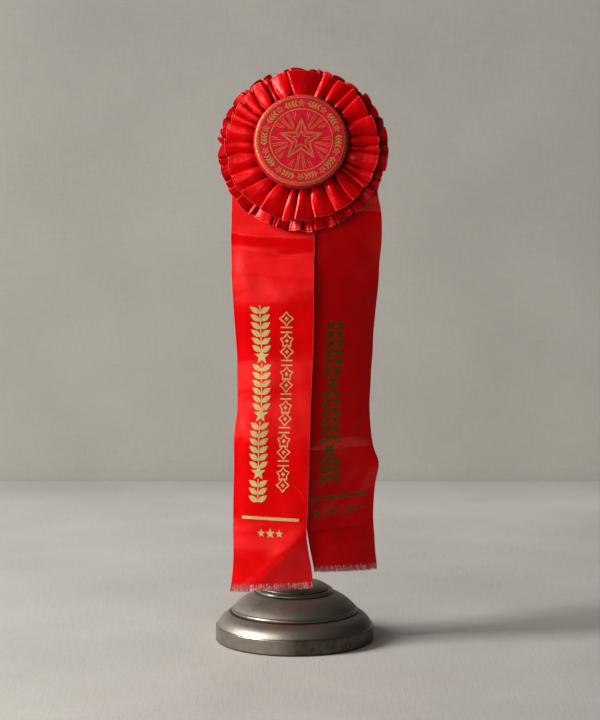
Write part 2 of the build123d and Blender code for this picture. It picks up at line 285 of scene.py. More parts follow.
def tube(points, radius, sides=6, closed_ends=True):
    """Vertices and faces of a thin tube along a polyline."""
    pts = np.asarray(points, float)
    m = len(pts)
    t = np.gradient(pts, axis=0)
    t /= np.maximum(np.linalg.norm(t, axis=1, keepdims=True), 1e-12)
    ref = np.array([0.0, 0.0, 1.0]) if abs(t[0][2]) < 0.9 else np.array([1.0, 0, 0])
    r = np.full(m, radius) if np.isscalar(radius) else np.asarray(radius)
    verts = []
    x = np.cross(t[0], ref)
    for i in range(m):
        x = x - t[i] * np.dot(x, t[i])
        x /= max(np.linalg.norm(x), 1e-12)
        y = np.cross(t[i], x)
        for s in range(sides):
            a = 2 * math.pi * s / sides
            verts.append(pts[i] + r[i] * (math.cos(a) * x + math.sin(a) * y))
    faces = []
    for i in range(m - 1):
        for s in range(sides):
            s2 = (s + 1) % sides
            faces.append((i * sides + s, i * sides + s2,
                          (i + 1) * sides + s2, (i + 1) * sides + s))
    if closed_ends:
        faces.append(tuple(range(sides))[::-1])
        faces.append(tuple((m - 1) * sides + s for s in range(sides)))
    return verts, faces


class Bag:
    """Collects many small solids into one mesh."""

    def __init__(self):
        self.v, self.f, self.t, self.n = [], [], [], 0

    def add(self, verts, faces, tint=0.5):
        verts = np.asarray(verts, float)
        self.v.append(verts)
        self.f += [tuple(int(i) + self.n for i in f) for f in faces]
        self.t.append(np.full(len(verts), tint))
        self.n += len(verts)

    def make(self, name, mat, smooth=True):
        v = np.vstack(self.v)
        uv = np.stack([(v[:, 0] + v[:, 1] * 0.3) / MM, v[:, 2] / MM], 1)
        return link(name, v, self.f, mat, smooth, uvs=uv, tint=np.concatenate(self.t))


def catmull(keys, xs):
    """Smooth interpolation of (x, y) pairs, sorted by x, at xs."""
    k = np.array(sorted(keys), float)
    x, y = k[:, 0], k[:, 1]
    d = np.gradient(y, x)
    xs = np.clip(xs, x[0], x[-1])
    i = np.clip(np.searchsorted(x, xs, side="right") - 1, 0, len(x) - 2)
    h = x[i + 1] - x[i]
    q = (xs - x[i]) / h
    return ((2 * q**3 - 3 * q**2 + 1) * y[i] + (q**3 - 2 * q**2 + q) * h * d[i]
            + (-2 * q**3 + 3 * q**2) * y[i + 1] + (q**3 - q**2) * h * d[i + 1])


def smooth(x, a, b):
    q = np.clip((np.asarray(x, float) - a) / (b - a), 0, 1)
    return q * q * (3 - 2 * q)


def waves(x, y, seed, count=10, lx=12.0, ly=12.0):
    """A few random plane waves, about -1 to 1, with the wavelengths given."""
    g = np.random.default_rng(seed)
    out = 0
    for _ in range(count):
        kx = g.normal() * 2 * math.pi / lx * 0.6
        ky = g.normal() * 2 * math.pi / ly * 0.6
        out = out + np.sin(kx * x + ky * y + g.uniform(0, 6.28))
    return out / math.sqrt(count)


# --------------------------------------------------------------------- materials
def srgb(r, g, b):
    def lin(c):
        c /= 255.0
        return c / 12.92 if c <= 0.04045 else ((c + 0.055) / 1.055) ** 2.4
    return (lin(r), lin(g), lin(b), 1.0)


class Mat:
    def __init__(self, name):
        self.m = bpy.data.materials.new(name)
        self.m.use_nodes = True
        self.t = self.m.node_tree
        self.n = self.t.nodes
        self.b = self.n["Principled BSDF"]

    def node(self, kind, **vals):
        nd = self.n.new(kind)
        for k, v in vals.items():
            if k in nd.inputs:
                nd.inputs[k].default_value = v
            else:
                setattr(nd, k, v)
        return nd

    def link(self, a, b):
        self.t.links.new(a, b)

    def set(self, **vals):
        for k, v in vals.items():
            self.b.inputs[k.replace("_", " ")].default_value = v

    def mapped(self, source, scale):
        tc = self.node("ShaderNodeTexCoord")
        mp = self.node("ShaderNodeMapping")
        mp.inputs["Scale"].default_value = scale
        self.link(tc.outputs[source], mp.inputs["Vector"])
        return mp.outputs["Vector"]

    def noise(self, vec, scale, detail=3.0, rough=0.5):
        nd = self.node("ShaderNodeTexNoise")
        nd.inputs["Scale"].default_value = scale
        nd.inputs["Detail"].default_value = detail
        nd.inputs["Roughness"].default_value = rough
        self.link(vec, nd.inputs["Vector"])
        return nd.outputs["Fac"]

    def ramp(self, fac, stops):
        nd = self.node("ShaderNodeValToRGB")
        cr = nd.color_ramp
        while len(cr.elements) < len(stops):
            cr.elements.new(0.5)
        for e, (p, c) in zip(cr.elements, stops):
            e.position = p
            e.color = c if len(c) == 4 else (*c, 1)
        self.link(fac, nd.inputs["Fac"])
        return nd.outputs["Color"]

    def mix(self, fac, a, b, mode="MIX"):
        nd = self.node("ShaderNodeMix")
        nd.data_type = "RGBA"
        nd.blend_type = mode
        for sock, val in ((nd.inputs[0], fac), (nd.inputs[6], a), (nd.inputs[7], b)):
            if hasattr(val, "is_output"):
                self.link(val, sock)
            else:
                sock.default_value = val
        return nd.outputs[2]

    def math(self, op, a, b=0.0, clamp=False):
        nd = self.node("ShaderNodeMath")
        nd.operation = op
        nd.use_clamp = clamp
        for sock, val in ((nd.inputs[0], a), (nd.inputs[1], b)):
            if hasattr(val, "is_output"):
                self.link(val, sock)
            else:
                sock.default_value = val
        return nd.outputs[0]

    def rrange(self, fac, lo_, hi_):
        nd = self.node("ShaderNodeMapRange")
        nd.inputs["To Min"].default_value = lo_
        nd.inputs["To Max"].default_value = hi_
        self.link(fac, nd.inputs["Value"])
        return nd.outputs["Result"]

    def bump(self, height, distance, strength=1.0, prev=None):
        nd = self.node("ShaderNodeBump")
        nd.inputs["Strength"].default_value = strength
        nd.inputs["Distance"].default_value = distance
        self.link(height, nd.inputs["Height"])
        if prev is not None:
            self.link(prev, nd.inputs["Normal"])
        self.link(nd.outputs["Normal"], self.b.inputs["Normal"])
        return nd.outputs["Normal"]


def satin(name, dark, mid, bright, rough=(0.36, 0.46), spec=0.9, aniso=0.75):
    """Acetate satin: fine warp lines along the ribbon, slight slubs, soft gloss."""
    s = Mat(name)
    uv = s.mapped("UV", (1, 1, 1))
    cloud = s.noise(uv, 0.09, 4.0, 0.55)
    slub = s.noise(s.mapped("UV", (2.2, 0.05, 1)), 1.0, 2.0, 0.6)
    weft = s.noise(s.mapped("UV", (0.06, 3.0, 1)), 1.0, 2.0, 0.6)
    f = s.math("ADD", s.math("MULTIPLY", cloud, 0.55),
               s.math("ADD", s.math("MULTIPLY", slub, 0.28),
                      s.math("MULTIPLY", weft, 0.17)))
    col = s.ramp(f, [(0.30, dark), (0.50, mid), (0.72, bright)])
    # "tint" on the mesh below 0 mixes in painted shade (the stitch groove, the gaps between pleats and the inner ends
    # near the button); above 0 it lifts the paler woven rim
    at = s.node("ShaderNodeAttribute")
    at.attribute_name = "tint"
    col = s.mix(s.math("MULTIPLY", at.outputs["Fac"], 1.0, True), col,
                srgb(246, 60, 72))
    # painted shade colour, mixed in where tint is below 0
    col = s.mix(s.math("MULTIPLY", at.outputs["Fac"], -1.0, True), col,
                srgb(92, 0, 8))
    s.link(col, s.b.inputs["Base Color"])
    s.link(s.rrange(s.noise(uv, 0.5, 3.0), rough[0], rough[1]),
           s.b.inputs["Roughness"])
    s.set(Specular_IOR_Level=spec, Anisotropic=aniso, Sheen_Weight=0.05,
          Sheen_Roughness=0.35)
    s.b.inputs["Specular Tint"].default_value = (1.0, 0.20, 0.19, 1)
    s.b.inputs["Sheen Tint"].default_value = (1.0, 0.12, 0.12, 1)
    tan = s.node("ShaderNodeTangent")
    tan.direction_type = "UV_MAP"
    tan.uv_map = "UVMap"
    s.link(tan.outputs["Tangent"], s.b.inputs["Tangent"])
    warp = s.node("ShaderNodeTexWave")
    warp.bands_direction = "X"
    warp.inputs["Scale"].default_value = 1.05
    warp.inputs["Distortion"].default_value = 0.6
    warp.inputs["Detail"].default_value = 1.0
    s.link(uv, warp.inputs["Vector"])
    rib = s.node("ShaderNodeTexWave")
    rib.bands_direction = "Y"
    rib.inputs["Scale"].default_value = 0.8
    rib.inputs["Distortion"].default_value = 0.8
    s.link(uv, rib.inputs["Vector"])
    h = s.math("ADD", s.math("MULTIPLY", warp.outputs["Fac"], 0.6),
               s.math("MULTIPLY", rib.outputs["Fac"], 0.4))
    b1 = s.bump(h, 0.00003, 0.30)
    s.bump(s.noise(uv, 0.22, 3.0, 0.5), 0.00030, 0.35, b1)
    return s.m


RED_TAIL = satin("satin_tail", srgb(196, 0, 0), srgb(213, 0, 4), srgb(226, 0, 9),
                 rough=(0.27, 0.34), spec=1.0, aniso=0.8)
# the ruffle's copy of the satin is painted darker than the tails' satin, as painted shade for the deeper shadows among
# its pleats
RED_RUFF_SHADED = satin("satin_ruffle", srgb(176, 0, 0), srgb(200, 0, 6), srgb(216, 0, 12),
                 rough=(0.26, 0.36), spec=0.9, aniso=0.5)


def thread_mat(name, dark, bright):
    s = Mat(name)
    at = s.node("ShaderNodeAttribute")
    at.attribute_name = "tint"
    fine = s.noise(s.mapped("UV", (3, 3, 3)), 1.5, 2.0)
    f = s.math("ADD", at.outputs["Fac"], s.rrange(fine, -0.12, 0.12), True)
    s.link(s.ramp(f, [(0.0, dark), (1.0, bright)]), s.b.inputs["Base Color"])
    s.link(s.rrange(fine, 0.42, 0.62), s.b.inputs["Roughness"])
    s.set(Specular_IOR_Level=0.4, Sheen_Weight=0.3)
    s.bump(fine, 0.00004, 0.6)
    return s.m


FRAY = thread_mat("frayed_threads", srgb(178, 0, 24), srgb(246, 172, 170))
STITCH = thread_mat("red_stitches", srgb(150, 0, 14), srgb(236, 52, 66))
SELV = thread_mat("selvedge", srgb(176, 0, 16), srgb(250, 96, 104))


def foil(name, base, dark, metallic=0.5):
    """Pressed metal foil over cloth: the weave shows through it, worn in places."""
    s = Mat(name)
    uv = s.mapped("UV", (1, 1, 1))
    wear = s.noise(uv, 1.3, 4.0, 0.65)
    s.link(s.ramp(wear, [(0.30, dark), (0.46, base), (1.0, base)]),
           s.b.inputs["Base Color"])
    s.link(s.rrange(s.noise(uv, 2.2, 3.0), 0.22, 0.48), s.b.inputs["Roughness"])
    s.set(Metallic=metallic, Specular_IOR_Level=0.5)
    weave = s.node("ShaderNodeTexWave")
    weave.bands_direction = "Y"
    weave.inputs["Scale"].default_value = 1.3
    weave.inputs["Distortion"].default_value = 1.6
    weave.inputs["Detail"].default_value = 2.0
    s.link(uv, weave.inputs["Vector"])
    b1 = s.bump(weave.outputs["Fac"], 0.00004, 0.7)
    s.bump(s.noise(uv, 0.8, 4.0), 0.00022, 0.9, b1)
    return s.m


GOLD = foil("gold_foil", srgb(222, 200, 132), srgb(168, 112, 56))
GOLD_BUTTON = foil("gold_print", srgb(190, 142, 68), srgb(126, 80, 36), 0.5)
# the right tail's foil is a darker copy of the same gold: painted shade and painted dark reflection for the tail
# turned away from the lamp
GOLD_SHADED = foil("gold_foil_dull", srgb(134, 88, 26), srgb(76, 30, 6), 0.75)


def button_cloth():
    s = Mat("button_cloth")
    g = s.mapped("Object", (1, 1, 1))
    cloud = s.noise(g, 260, 4.0)
    speck = s.noise(g, 2600, 2.0, 0.7)
    f = s.math("ADD", s.math("MULTIPLY", cloud, 0.5), s.math("MULTIPLY", speck, 0.5))
    s.link(s.ramp(f, [(0.32, srgb(140, 0, 18)), (0.5, srgb(176, 2, 30)),
                      (0.68, srgb(200, 12, 46))]), s.b.inputs["Base Color"])
    s.link(s.rrange(speck, 0.42, 0.60), s.b.inputs["Roughness"])
    s.set(Specular_IOR_Level=0.30, Sheen_Weight=0.10, Sheen_Roughness=0.4)
    s.b.inputs["Specular Tint"].default_value = (1.0, 0.45, 0.5, 1)
    s.b.inputs["Sheen Tint"].default_value = (1.0, 0.2, 0.3, 1)
    w1 = s.node("ShaderNodeTexWave")
    w1.bands_direction = "X"
    w1.inputs["Scale"].default_value = 700
    w1.inputs["Distortion"].default_value = 1.0
    w2 = s.node("ShaderNodeTexWave")
    w2.bands_direction = "Z"
    w2.inputs["Scale"].default_value = 700
    w2.inputs["Distortion"].default_value = 1.0
    s.link(g, w1.inputs["Vector"])
    s.link(g, w2.inputs["Vector"])
    h = s.math("MULTIPLY", w1.outputs["Fac"], w2.outputs["Fac"])
    b1 = s.bump(h, 0.00005, 0.7)
    s.bump(cloud, 0.0003, 0.4, b1)
    return s.m


BUTTON = button_cloth()


def pewter():
    """Lathe-turned antique pewter: fine turning lines, painted shade in the grooves, patina and painted shade round
    the front right, worn edges, stains.
    """
    s = Mat("antique_pewter")
    tc = s.node("ShaderNodeTexCoord")
    sep = s.node("ShaderNodeSeparateXYZ")
    s.link(tc.outputs["Object"], sep.inputs[0])
    x, y, z = sep.outputs[0], sep.outputs[1], sep.outputs[2]
    rad = s.math("SQRT", s.math("ADD", s.math("MULTIPLY", x, x), s.math("MULTIPLY", y, y)))
    ang = s.math("ARCTAN2", y, x)
    prof = s.node("ShaderNodeCombineXYZ")
    s.link(s.math("MULTIPLY", rad, 3200), prof.inputs[0])
    s.link(s.math("MULTIPLY", z, 3200), prof.inputs[1])
    s.link(s.math("MULTIPLY", ang, 0.9), prof.inputs[2])
    turn = s.noise(prof.outputs[0], 1.0, 3.0, 0.6)
    g = s.mapped("Object", (1, 1, 1))
    cloud = s.noise(g, 70, 5.0, 0.6)
    spots = s.noise(g, 420, 4.0, 0.7)
    f = s.math("ADD", s.math("MULTIPLY", cloud, 0.55), s.math("MULTIPLY", spots, 0.45))
    col = s.ramp(f, [(0.30, srgb(130, 121, 111)), (0.5, srgb(148, 139, 128)),
                     (0.7, srgb(160, 152, 142))])
    # painted shade in the grooves, under the cap's lip and along the foot's bottom edge, at set heights
    def band(height, half, strength):
        d = s.math("ABSOLUTE", s.math("SUBTRACT", z, height))
        q = s.math("SUBTRACT", 1.0, s.math("DIVIDE", d, half), True)
        return s.math("MULTIPLY", q, strength)
    dark = s.math("MAXIMUM", band(0.0137, 0.0004, 0.85), band(0.0228, 0.0003, 0.6))
    dark = s.math("MAXIMUM", dark, band(0.0004, 0.0010, 0.7))
    col = s.mix(dark, col, srgb(34, 26, 18))
    # stains low on the wall
    st = s.noise(s.mapped("Object", (1, 1, 0.45)), 330, 5.0, 0.75)
    low = s.math("SUBTRACT", 1.0, s.math("DIVIDE", z, 0.0075), True)
    stain = s.math("MULTIPLY", s.ramp(st, [(0.56, (0, 0, 0)), (0.64, (1, 1, 1))]), low)
    col = s.mix(s.math("MULTIPLY", stain, 0.75), col, srgb(50, 40, 28))
    # heavier patina plus painted shade and painted dark reflection round the front right of the foot, the side away
    # from the lamp, thinning upwards
    side = s.math("MULTIPLY", s.math("DIVIDE", s.math("ADD", x, 0.010), 0.012, True),
                  s.math("DIVIDE", s.math("SUBTRACT", 0.012, y), 0.02, True))
    wall = s.math("SUBTRACT", 1.0, s.math("DIVIDE", s.math("SUBTRACT", z, 0.0068),
                                          0.0012, True))
    amount = s.math("ADD", 0.44, s.math("MULTIPLY", wall, 0.38))
    mottle = s.rrange(spots, 0.55, 1.35)
    patina_and_shade = s.math("MULTIPLY", s.math("MULTIPLY", side, amount), mottle, True)
    col = s.mix(patina_and_shade, col, srgb(44, 33, 22))
    s.link(col, s.b.inputs["Base Color"])
    s.set(Metallic=0.92, Specular_IOR_Level=0.5, Anisotropic=0.45)
    tan = s.node("ShaderNodeTangent")
    tan.direction_type = "RADIAL"
    tan.axis = "Z"
    s.link(tan.outputs["Tangent"], s.b.inputs["Tangent"])
    rr = s.math("ADD", s.rrange(turn, 0.37, 0.46), s.rrange(spots, -0.03, 0.06))
    edge = s.math("MAXIMUM", band(0.00745, 0.0006, 1.0), band(0.0150, 0.0009, 1.0))
    edge = s.math("MAXIMUM", edge, band(0.0238, 0.0008, 1.0))
    rr = s.math("SUBTRACT", rr, s.math("MULTIPLY", edge, 0.16))
    s.link(s.math("ADD", rr, s.math("MULTIPLY", stain, 0.25)), s.b.inputs["Roughness"])
    b1 = s.bump(turn, 0.00003, 0.45)
    b2 = s.bump(cloud, 0.0005, 0.18, b1)
    nick = s.ramp(s.noise(g, 900, 2.0, 0.5), [(0.0, (0, 0, 0)), (0.30, (1, 1, 1))])
    s.bump(nick, 0.00010, 0.6, b2)
    return s.m


def metal(name, a, b, rough, scale=900, metallic=1.0):
    s = Mat(name)
    g = s.mapped("Object", (1, 1, 1))
    c1 = s.noise(g, scale, 4.0, 0.6)
    c2 = s.noise(s.mapped("Object", (1, 1, 0.06)), scale * 2.5, 2.0)
    s.link(s.ramp(c1, [(0.15, a), (0.85, b)]), s.b.inputs["Base Color"])
    s.link(s.rrange(c1, rough[0], rough[1]), s.b.inputs["Roughness"])
    s.set(Metallic=metallic)
    b1 = s.bump(c2, 0.00001, 0.25)
    s.bump(c1, 0.00002, 0.15, b1)
    return s.m


def fibre(name, a, b, scale, depth, rough=(0.8, 0.95)):
    s = Mat(name)
    g = s.mapped("Object", (1, 1, 1))
    c1 = s.noise(g, scale, 5.0, 0.7)
    c2 = s.noise(g, scale * 6, 3.0, 0.7)
    f = s.math("ADD", s.math("MULTIPLY", c1, 0.5), s.math("MULTIPLY", c2, 0.5))
    s.link(s.ramp(f, [(0.35, a), (0.65, b)]), s.b.inputs["Base Color"])
    s.link(s.rrange(c2, rough[0], rough[1]), s.b.inputs["Roughness"])
    s.set(Specular_IOR_Level=0.2, Sheen_Weight=0.2)
    b1 = s.bump(c2, depth, 0.8)
    s.bump(c1, depth * 3, 0.4, b1)
    return s.m


PEWTER = pewter()
STEEL = metal("drawn_steel", srgb(132, 130, 126), srgb(168, 166, 162), (0.25, 0.4))
NICKEL = metal("dull_nickel", srgb(158, 152, 140), srgb(196, 190, 178), (0.2, 0.38))
TIN = metal("tinned_steel", srgb(150, 146, 136), srgb(196, 192, 184), (0.28, 0.45))
IRON = metal("cast_iron", srgb(40, 40, 40), srgb(66, 64, 62), (0.6, 0.8), 500, 0.8)
CARD = fibre("aged_card", srgb(196, 180, 148), srgb(220, 208, 180), 300, 0.00006)
FELT = fibre("felt", srgb(22, 44, 30), srgb(40, 70, 50), 700, 0.0002)
RUBBER = fibre("rubber", srgb(24, 24, 24), srgb(38, 38, 38), 900, 0.00004, (0.55, 0.75))
COTTON = fibre("cotton", srgb(214, 208, 196), srgb(232, 228, 218), 500, 0.0002)

SLOT_MAT = {"pewter": PEWTER, "iron": IRON, "felt": FELT, "steel": STEEL,
            "nickel": NICKEL, "rubber": RUBBER, "button_cloth": BUTTON, "tin": TIN,
            "wadding": COTTON, "card": CARD, "red_satin": RED_TAIL}
for sp in frame["record"]["subparts"]:
    ob = frame["nodes"][sp["node"]]
    want = SLOT_MAT[sp["material_slot"]]
    for o in [ob] + list(ob.children_recursive):
        if o.type == "MESH":
            if not o.material_slots:
                o.data.materials.append(want)
            for sl in o.material_slots:
                sl.material = want

# ----------------------------------------------------------------------- ruffles
# Pleat boundaries: angle clockwise from the top, in degrees, at the button and at
# the rim. lift is +1 where the counter-clockwise fold stands up, -1 where the
# clockwise one does; low drops a facet below its neighbours.
FRONT = [
    (9.0, 16.2, 1, 0.0), (21.5, 27.7, 1, 0.0), (35.5, 40.7, 1, 0.15),
    (47.5, 48.2, 1, 0.0), (64.5, 66.5, 1, 0.0), (81.0, 83.6, 1, 0.1),
    (90.5, 90.6, 1, 0.35), (96.5, 98.3, 1, 0.0), (111.0, 110.6, 1, 0.5),
    (118.0, 119.5, -1, 0.9), (124.5, 125.2, -1, 0.35), (134.5, 138.4, -1, 0.0),
    (153.5, 153.2, -1, 0.0), (169.0, 169.8, -1, 0.0), (185.0, 185.2, -1, 0.0),
    (194.5, 194.2, -1, 0.5), (213.5, 212.5, -1, 0.0), (226.5, 232.2, -1, 0.1),
    (243.5, 246.1, -1, 0.0), (259.5, 260.7, -1, 0.0), (274.5, 274.6, -1, 0.0),
    (289.0, 287.0, -1, 0.0), (296.5, 296.0, -1, 0.35), (304.0, 305.0, -1, 0.0),
    (311.5, 316.7, -1, 0.1), (323.0, 327.4, -1, 0.4), (336.0, 332.1, -1, 0.0),
    (349.5, 347.4, 1, 1.0)]


def profile(half, lift, low, top, tilt, bulge, over):
    """Half-open outline of one pleat, from its counter-clockwise end: points (x, h)
    in millimetres, x across the pleat and h above the card."""
    a = half
    t = math.tan(math.radians(tilt))
    hi_ = top + a * t - low
    lo_ = max(0.35, top - a * t - low)
    pts = [(-a + 0.95, 0.06), (-a + 0.45, 0.45 * hi_), (-a + 0.04, hi_ - 0.42),
           (-a + 0.02, hi_ - 0.14), (-a + 0.26, hi_ + 0.02),
           (-a + 0.75, hi_ + 0.02 + bulge * 0.30)]
    for f in (-0.45, -0.1, 0.25, 0.6):
        q = (f + 1) / 2
        pts.append((f * a, hi_ + (lo_ - hi_) * q + bulge * (1 - f * f)))
    pts += [(a - 0.45, lo_ + bulge * 0.25), (a + over - 0.12, lo_ - 0.10),
            (a + over, lo_ - 0.28), (a + over - 0.25, max(0.08, lo_ - 0.5)),
            (a - 0.55, 0.08), (a - 0.2, 0.03)]
    pts = np.array(pts)
    if lift < 0:
        pts[:, 0] *= -1
        pts = pts[::-1]
    return pts


def smooth_line(pts, n):
    """n points along a Catmull-Rom curve through pts, spaced for the folds."""
    k = len(pts)
    s = np.linspace(0, k - 1, n, endpoint=False)
    i = np.minimum(s.astype(int), k - 2)
    q = (s - i)[:, None]
    p0 = pts[np.maximum(i - 1, 0)]
    p1, p2 = pts[i], pts[i + 1]
    p3 = pts[np.minimum(i + 2, k - 1)]
    return 0.5 * (2 * p1 + (p2 - p0) * q + (2 * p0 - 5 * p1 + 4 * p2 - p3) * q**2
                  + (3 * p1 - p0 - 3 * p2 + p3) * q**3)


def ruffle(name, table, r0, r1, w0, top_in, top_mid, top_rim, seed, mat,
           samples=42, rows=24, tilt=10.0, flare=0.4, squash_top=0.0):
    g = np.random.default_rng(seed)
    k = len(table)
    var = g.normal(size=(k, 8))
    span = r1 - r0
    q = np.concatenate([np.linspace(0, 1 - 1.35 / span, rows),
                        1 - np.array([1.02, 0.90, 0.80, 0.70, 0.55, 0.28, 0.0]) / span])
    groove = np.array([0, 0.35, 1, 0.35, 0, 0, 0])
    rows = len(q)
    groove = np.concatenate([np.zeros(rows - 7), groove])
    tint = np.zeros((rows, k * samples))
    P = np.zeros((rows, k * samples, 3))
    for j in range(rows):
        for i in range(k):
            a_in, a_out, lift, low = table[i]
            b_in, b_out = table[(i + 1) % k][:2]
            if i == k - 1:
                b_in += 360
                b_out += 360
            e = q[j] ** 0.8
            nxt = (i + 1) % k
            sway = math.sin(math.pi * min(1.0, q[j] * 1.05))
            al = a_in + (a_out - a_in) * e + 0.9 * var[i, 6] * sway
            ar = b_in + (b_out - b_in) * e + 0.9 * var[nxt, 6] * sway
            rim = r1 + 0.40 * var[i, 0] - squash_top * max(
                0.0, math.cos(math.radians((al + ar) / 2 - 14))) ** 2
            r = r0 + (rim - r0) * q[j]
            half = math.radians(ar - al) / 2 * r
            mid = math.radians((al + ar) / 2)
            pinch = 0.14 + 1.05 * (1 - q[j]) ** 2.4 + 0.16 * q[j]
            half = max(half - pinch, 0.75)
            top = float(catmull([(0, top_in), (0.30, top_mid), (0.65, 0.5 * top_mid
                                 + 0.5 * top_rim), (1, top_rim)], q[j]))
            top *= 1 + 0.10 * var[i, 1]
            bulge = (1.70 - 1.15 * q[j]) * min(1.0, half / 3.0) * (1 + 0.25 * var[i, 2])
            tl = (tilt + 3.5 * var[i, 3]) * (0.55 + 0.45 * q[j])
            tl = min(tl, math.degrees(math.atan(0.72 * top / half)))
            pts = profile(half, lift, low * min(1, 0.4 + q[j]), top, tl, bulge,
                          0.25 if half > 1.6 else 0.05)
            line = smooth_line(pts, samples)
            x, h = line[:, 0], line[:, 1]
            # the cut edge runs a little off square and curls back at the folds
            f_ = x / max(half, 1)
            skew = 0.40 * var[i, 4] * f_ * q[j] ** 2
            droop = -0.45 * f_ ** 2 * q[j] ** 3
            rr = r + skew + droop
            ww = w0 + h + flare * q[j] ** 2 + 0.35 * var[i, 5] * q[j] ** 2
            ww = ww + 0.25 * var[i, 7] * f_ * q[j] ** 2
            ww = ww - 0.14 * groove[j]
            ww = np.maximum(ww, w0 + 0.05)
            aa = mid + x / r
            ww = ww + 0.05 * waves(rr * 2, aa * 60, seed + 3, 8, 9, 9)
            P[j, i * samples:(i + 1) * samples] = disc(rr * np.sin(aa),
                                                       rr * np.cos(aa), ww)
            # painted shade: darker in the low parts of each pleat (the gaps between pleats), towards the inner ends
            # under the button and in the stitch groove; the last two rows are lighter for the woven rim
            gap_shade = 0.72 * (1 - smooth(h / max(h.max(), 0.5), 0.10, 0.62))
            button_shade = 0.30 * (1 - q[j]) ** 3
            tint[j, i * samples:(i + 1) * samples] = -0.75 * groove[j] - gap_shade - button_shade + (
                0.40 if j == rows - 1 else 0.14 if j == rows - 2 else 0.0)
    seg = np.linalg.norm(np.diff(P, axis=1, append=P[:, :1]), axis=2) / MM
    run = np.concatenate([[0], np.cumsum(seg[rows // 2])[:-1]])
    uv = np.zeros((rows, k * samples, 2))
    uv[..., 0] = (q * (r1 - r0))[:, None]
    uv[..., 1] = run[None]
    ob = cloth(name, P, 0.22 * MM, mat, wrap=True, uv=uv, tint=tint)
    length = float(seg[rows - 1].sum())
    return ob, P, length


front_ob, front_P, front_len = ruffle("ruffle_front_satin", FRONT, 18.5, 35.4, 6.15,
                                      1.6, 3.5, 2.5, 11, RED_RUFF_SHADED, tilt=17.0,
                                      squash_top=1.4)
g = np.random.default_rng(23)
rear_n = 44
cuts = np.sort((np.arange(rear_n) + g.uniform(-0.30, 0.30, rear_n)) * 360 / rear_n)
REAR = [(float(c_), float(c_ + g.normal() * 1.5), 1 if g.uniform() > 0.45 else -1,
         float(max(0, g.normal() * 0.5))) for c_ in cuts]
rear_ob, rear_P, rear_len = ruffle("ruffle_rear_satin", REAR, 18.5, 39.3, 0.25,
                                   1.0, 2.8, 2.5, 31, RED_RUFF_SHADED, samples=34,
                                   tilt=20.0, flare=0.5, squash_top=2.4)
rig.ride(front_ob, "rosette")
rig.ride(rear_ob, "rosette")
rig.slot(front_ob, "red_satin")
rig.slot(rear_ob, "red_satin")
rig.replaces(front_ob, "ruffle_front")
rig.replaces(rear_ob, "ruffle_rear")


def capsule(c, t, n, length, wide, high):
    """A small rounded stitch lying along t on a surface with normal n."""
    b = np.cross(n, t)
    verts, faces = [], []
    rings = [(-0.5, 0.35), (-0.28, 0.9), (0.28, 0.9), (0.5, 0.35)]
    for f, s in rings:
        for k_ in range(6):
            a = 2 * math.pi * k_ / 6
            verts.append(c + t * length * f + b * wide * s * math.cos(a) / 2
                         + n * high * s * math.sin(a) / 2)
    for i in range(3):
        for k_ in range(6):
            k2 = (k_ + 1) % 6
            faces.append((i * 6 + k_, i * 6 + k2, (i + 1) * 6 + k2, (i + 1) * 6 + k_))
    faces.append(tuple(range(6))[::-1])
    faces.append(tuple(18 + k_ for k_ in range(6)))
    return verts, faces


def stitch_line(bag, P, row_f, pitch, seed, size=(0.62, 0.26, 0.16), side=1, lift_mm=0.13):
    g_ = np.random.default_rng(seed)
    r = row_f * (P.shape[0] - 1)
    i = int(min(r, P.shape[0] - 2))
    f = r - i
    line = P[i] * (1 - f) + P[i + 1] * f
    nrm = grid_normals(P, True)
    nn = nrm[i] * (1 - f) + nrm[i + 1] * f
    seg = np.linalg.norm(np.diff(line, axis=0), axis=1)
    cum = np.concatenate([[0], np.cumsum(seg)])
    for d in np.arange(0, cum[-1], pitch * MM):
        k_ = min(int(np.searchsorted(cum, d, side="right")) - 1, len(line) - 2)
        q_ = (d - cum[k_]) / max(seg[k_], 1e-9)
        p = line[k_] * (1 - q_) + line[k_ + 1] * q_
        t = line[k_ + 1] - line[k_]
        t /= max(np.linalg.norm(t), 1e-12)
        n_ = nn[k_] / max(np.linalg.norm(nn[k_]), 1e-12)
        if np.dot(n_, N) * side < 0.25:
            continue
        v, f_ = capsule(p + n_ * side * lift_mm * MM, t, n_, size[0] * MM,
                        size[1] * MM, size[2] * MM)
        bag.add(v, f_, float(np.clip(g_.normal(0.45, 0.25), 0, 1)))


flip = 1 if float(np.mean(grid_normals(front_P, True) @ N)) > 0 else -1
bag = Bag()
stitch_line(bag, front_P, (len(front_P) - 5) / (len(front_P) - 1), 0.95, 5, side=flip,
            lift_mm=0.10)
stitch_line(bag, front_P, 0.997, 0.62, 6, (0.5, 0.24, 0.22), flip, 0.04)
so = bag.make("ruffle_front_stitches", STITCH)
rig.ride(so, "rosette")
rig.slot(so, "red_satin")
bag = Bag()
stitch_line(bag, rear_P, (len(rear_P) - 5) / (len(rear_P) - 1), 0.95, 8, side=flip,
            lift_mm=0.10)
stitch_line(bag, rear_P, 0.998, 0.62, 9, (0.5, 0.24, 0.22), flip, 0.04)
so2 = bag.make("ruffle_rear_stitches", STITCH)
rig.ride(so2, "rosette")
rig.slot(so2, "red_satin")

# ------------------------------------------------------------------------ button
R_B, W_B0, W_B1 = 21.7, 11.0, 15.2
B_U, B_V = -0.4, 0.7            # the button sits a little off the centre
FLAT = R_B - 2.2


def button_w(r):
    """Height of the covered face at radius r: nearly flat with a rolled edge."""
    r = np.asarray(r, float)
    crown = W_B1 - 0.02 - 0.30 * (np.clip(r, 0, FLAT) / FLAT) ** 3
    edge = np.sqrt(np.maximum(0, 1 - (np.clip(r - FLAT, 0, 2.2) / 2.2) ** 2))
    return crown - 2.2 * (1 - edge) * (r > FLAT)


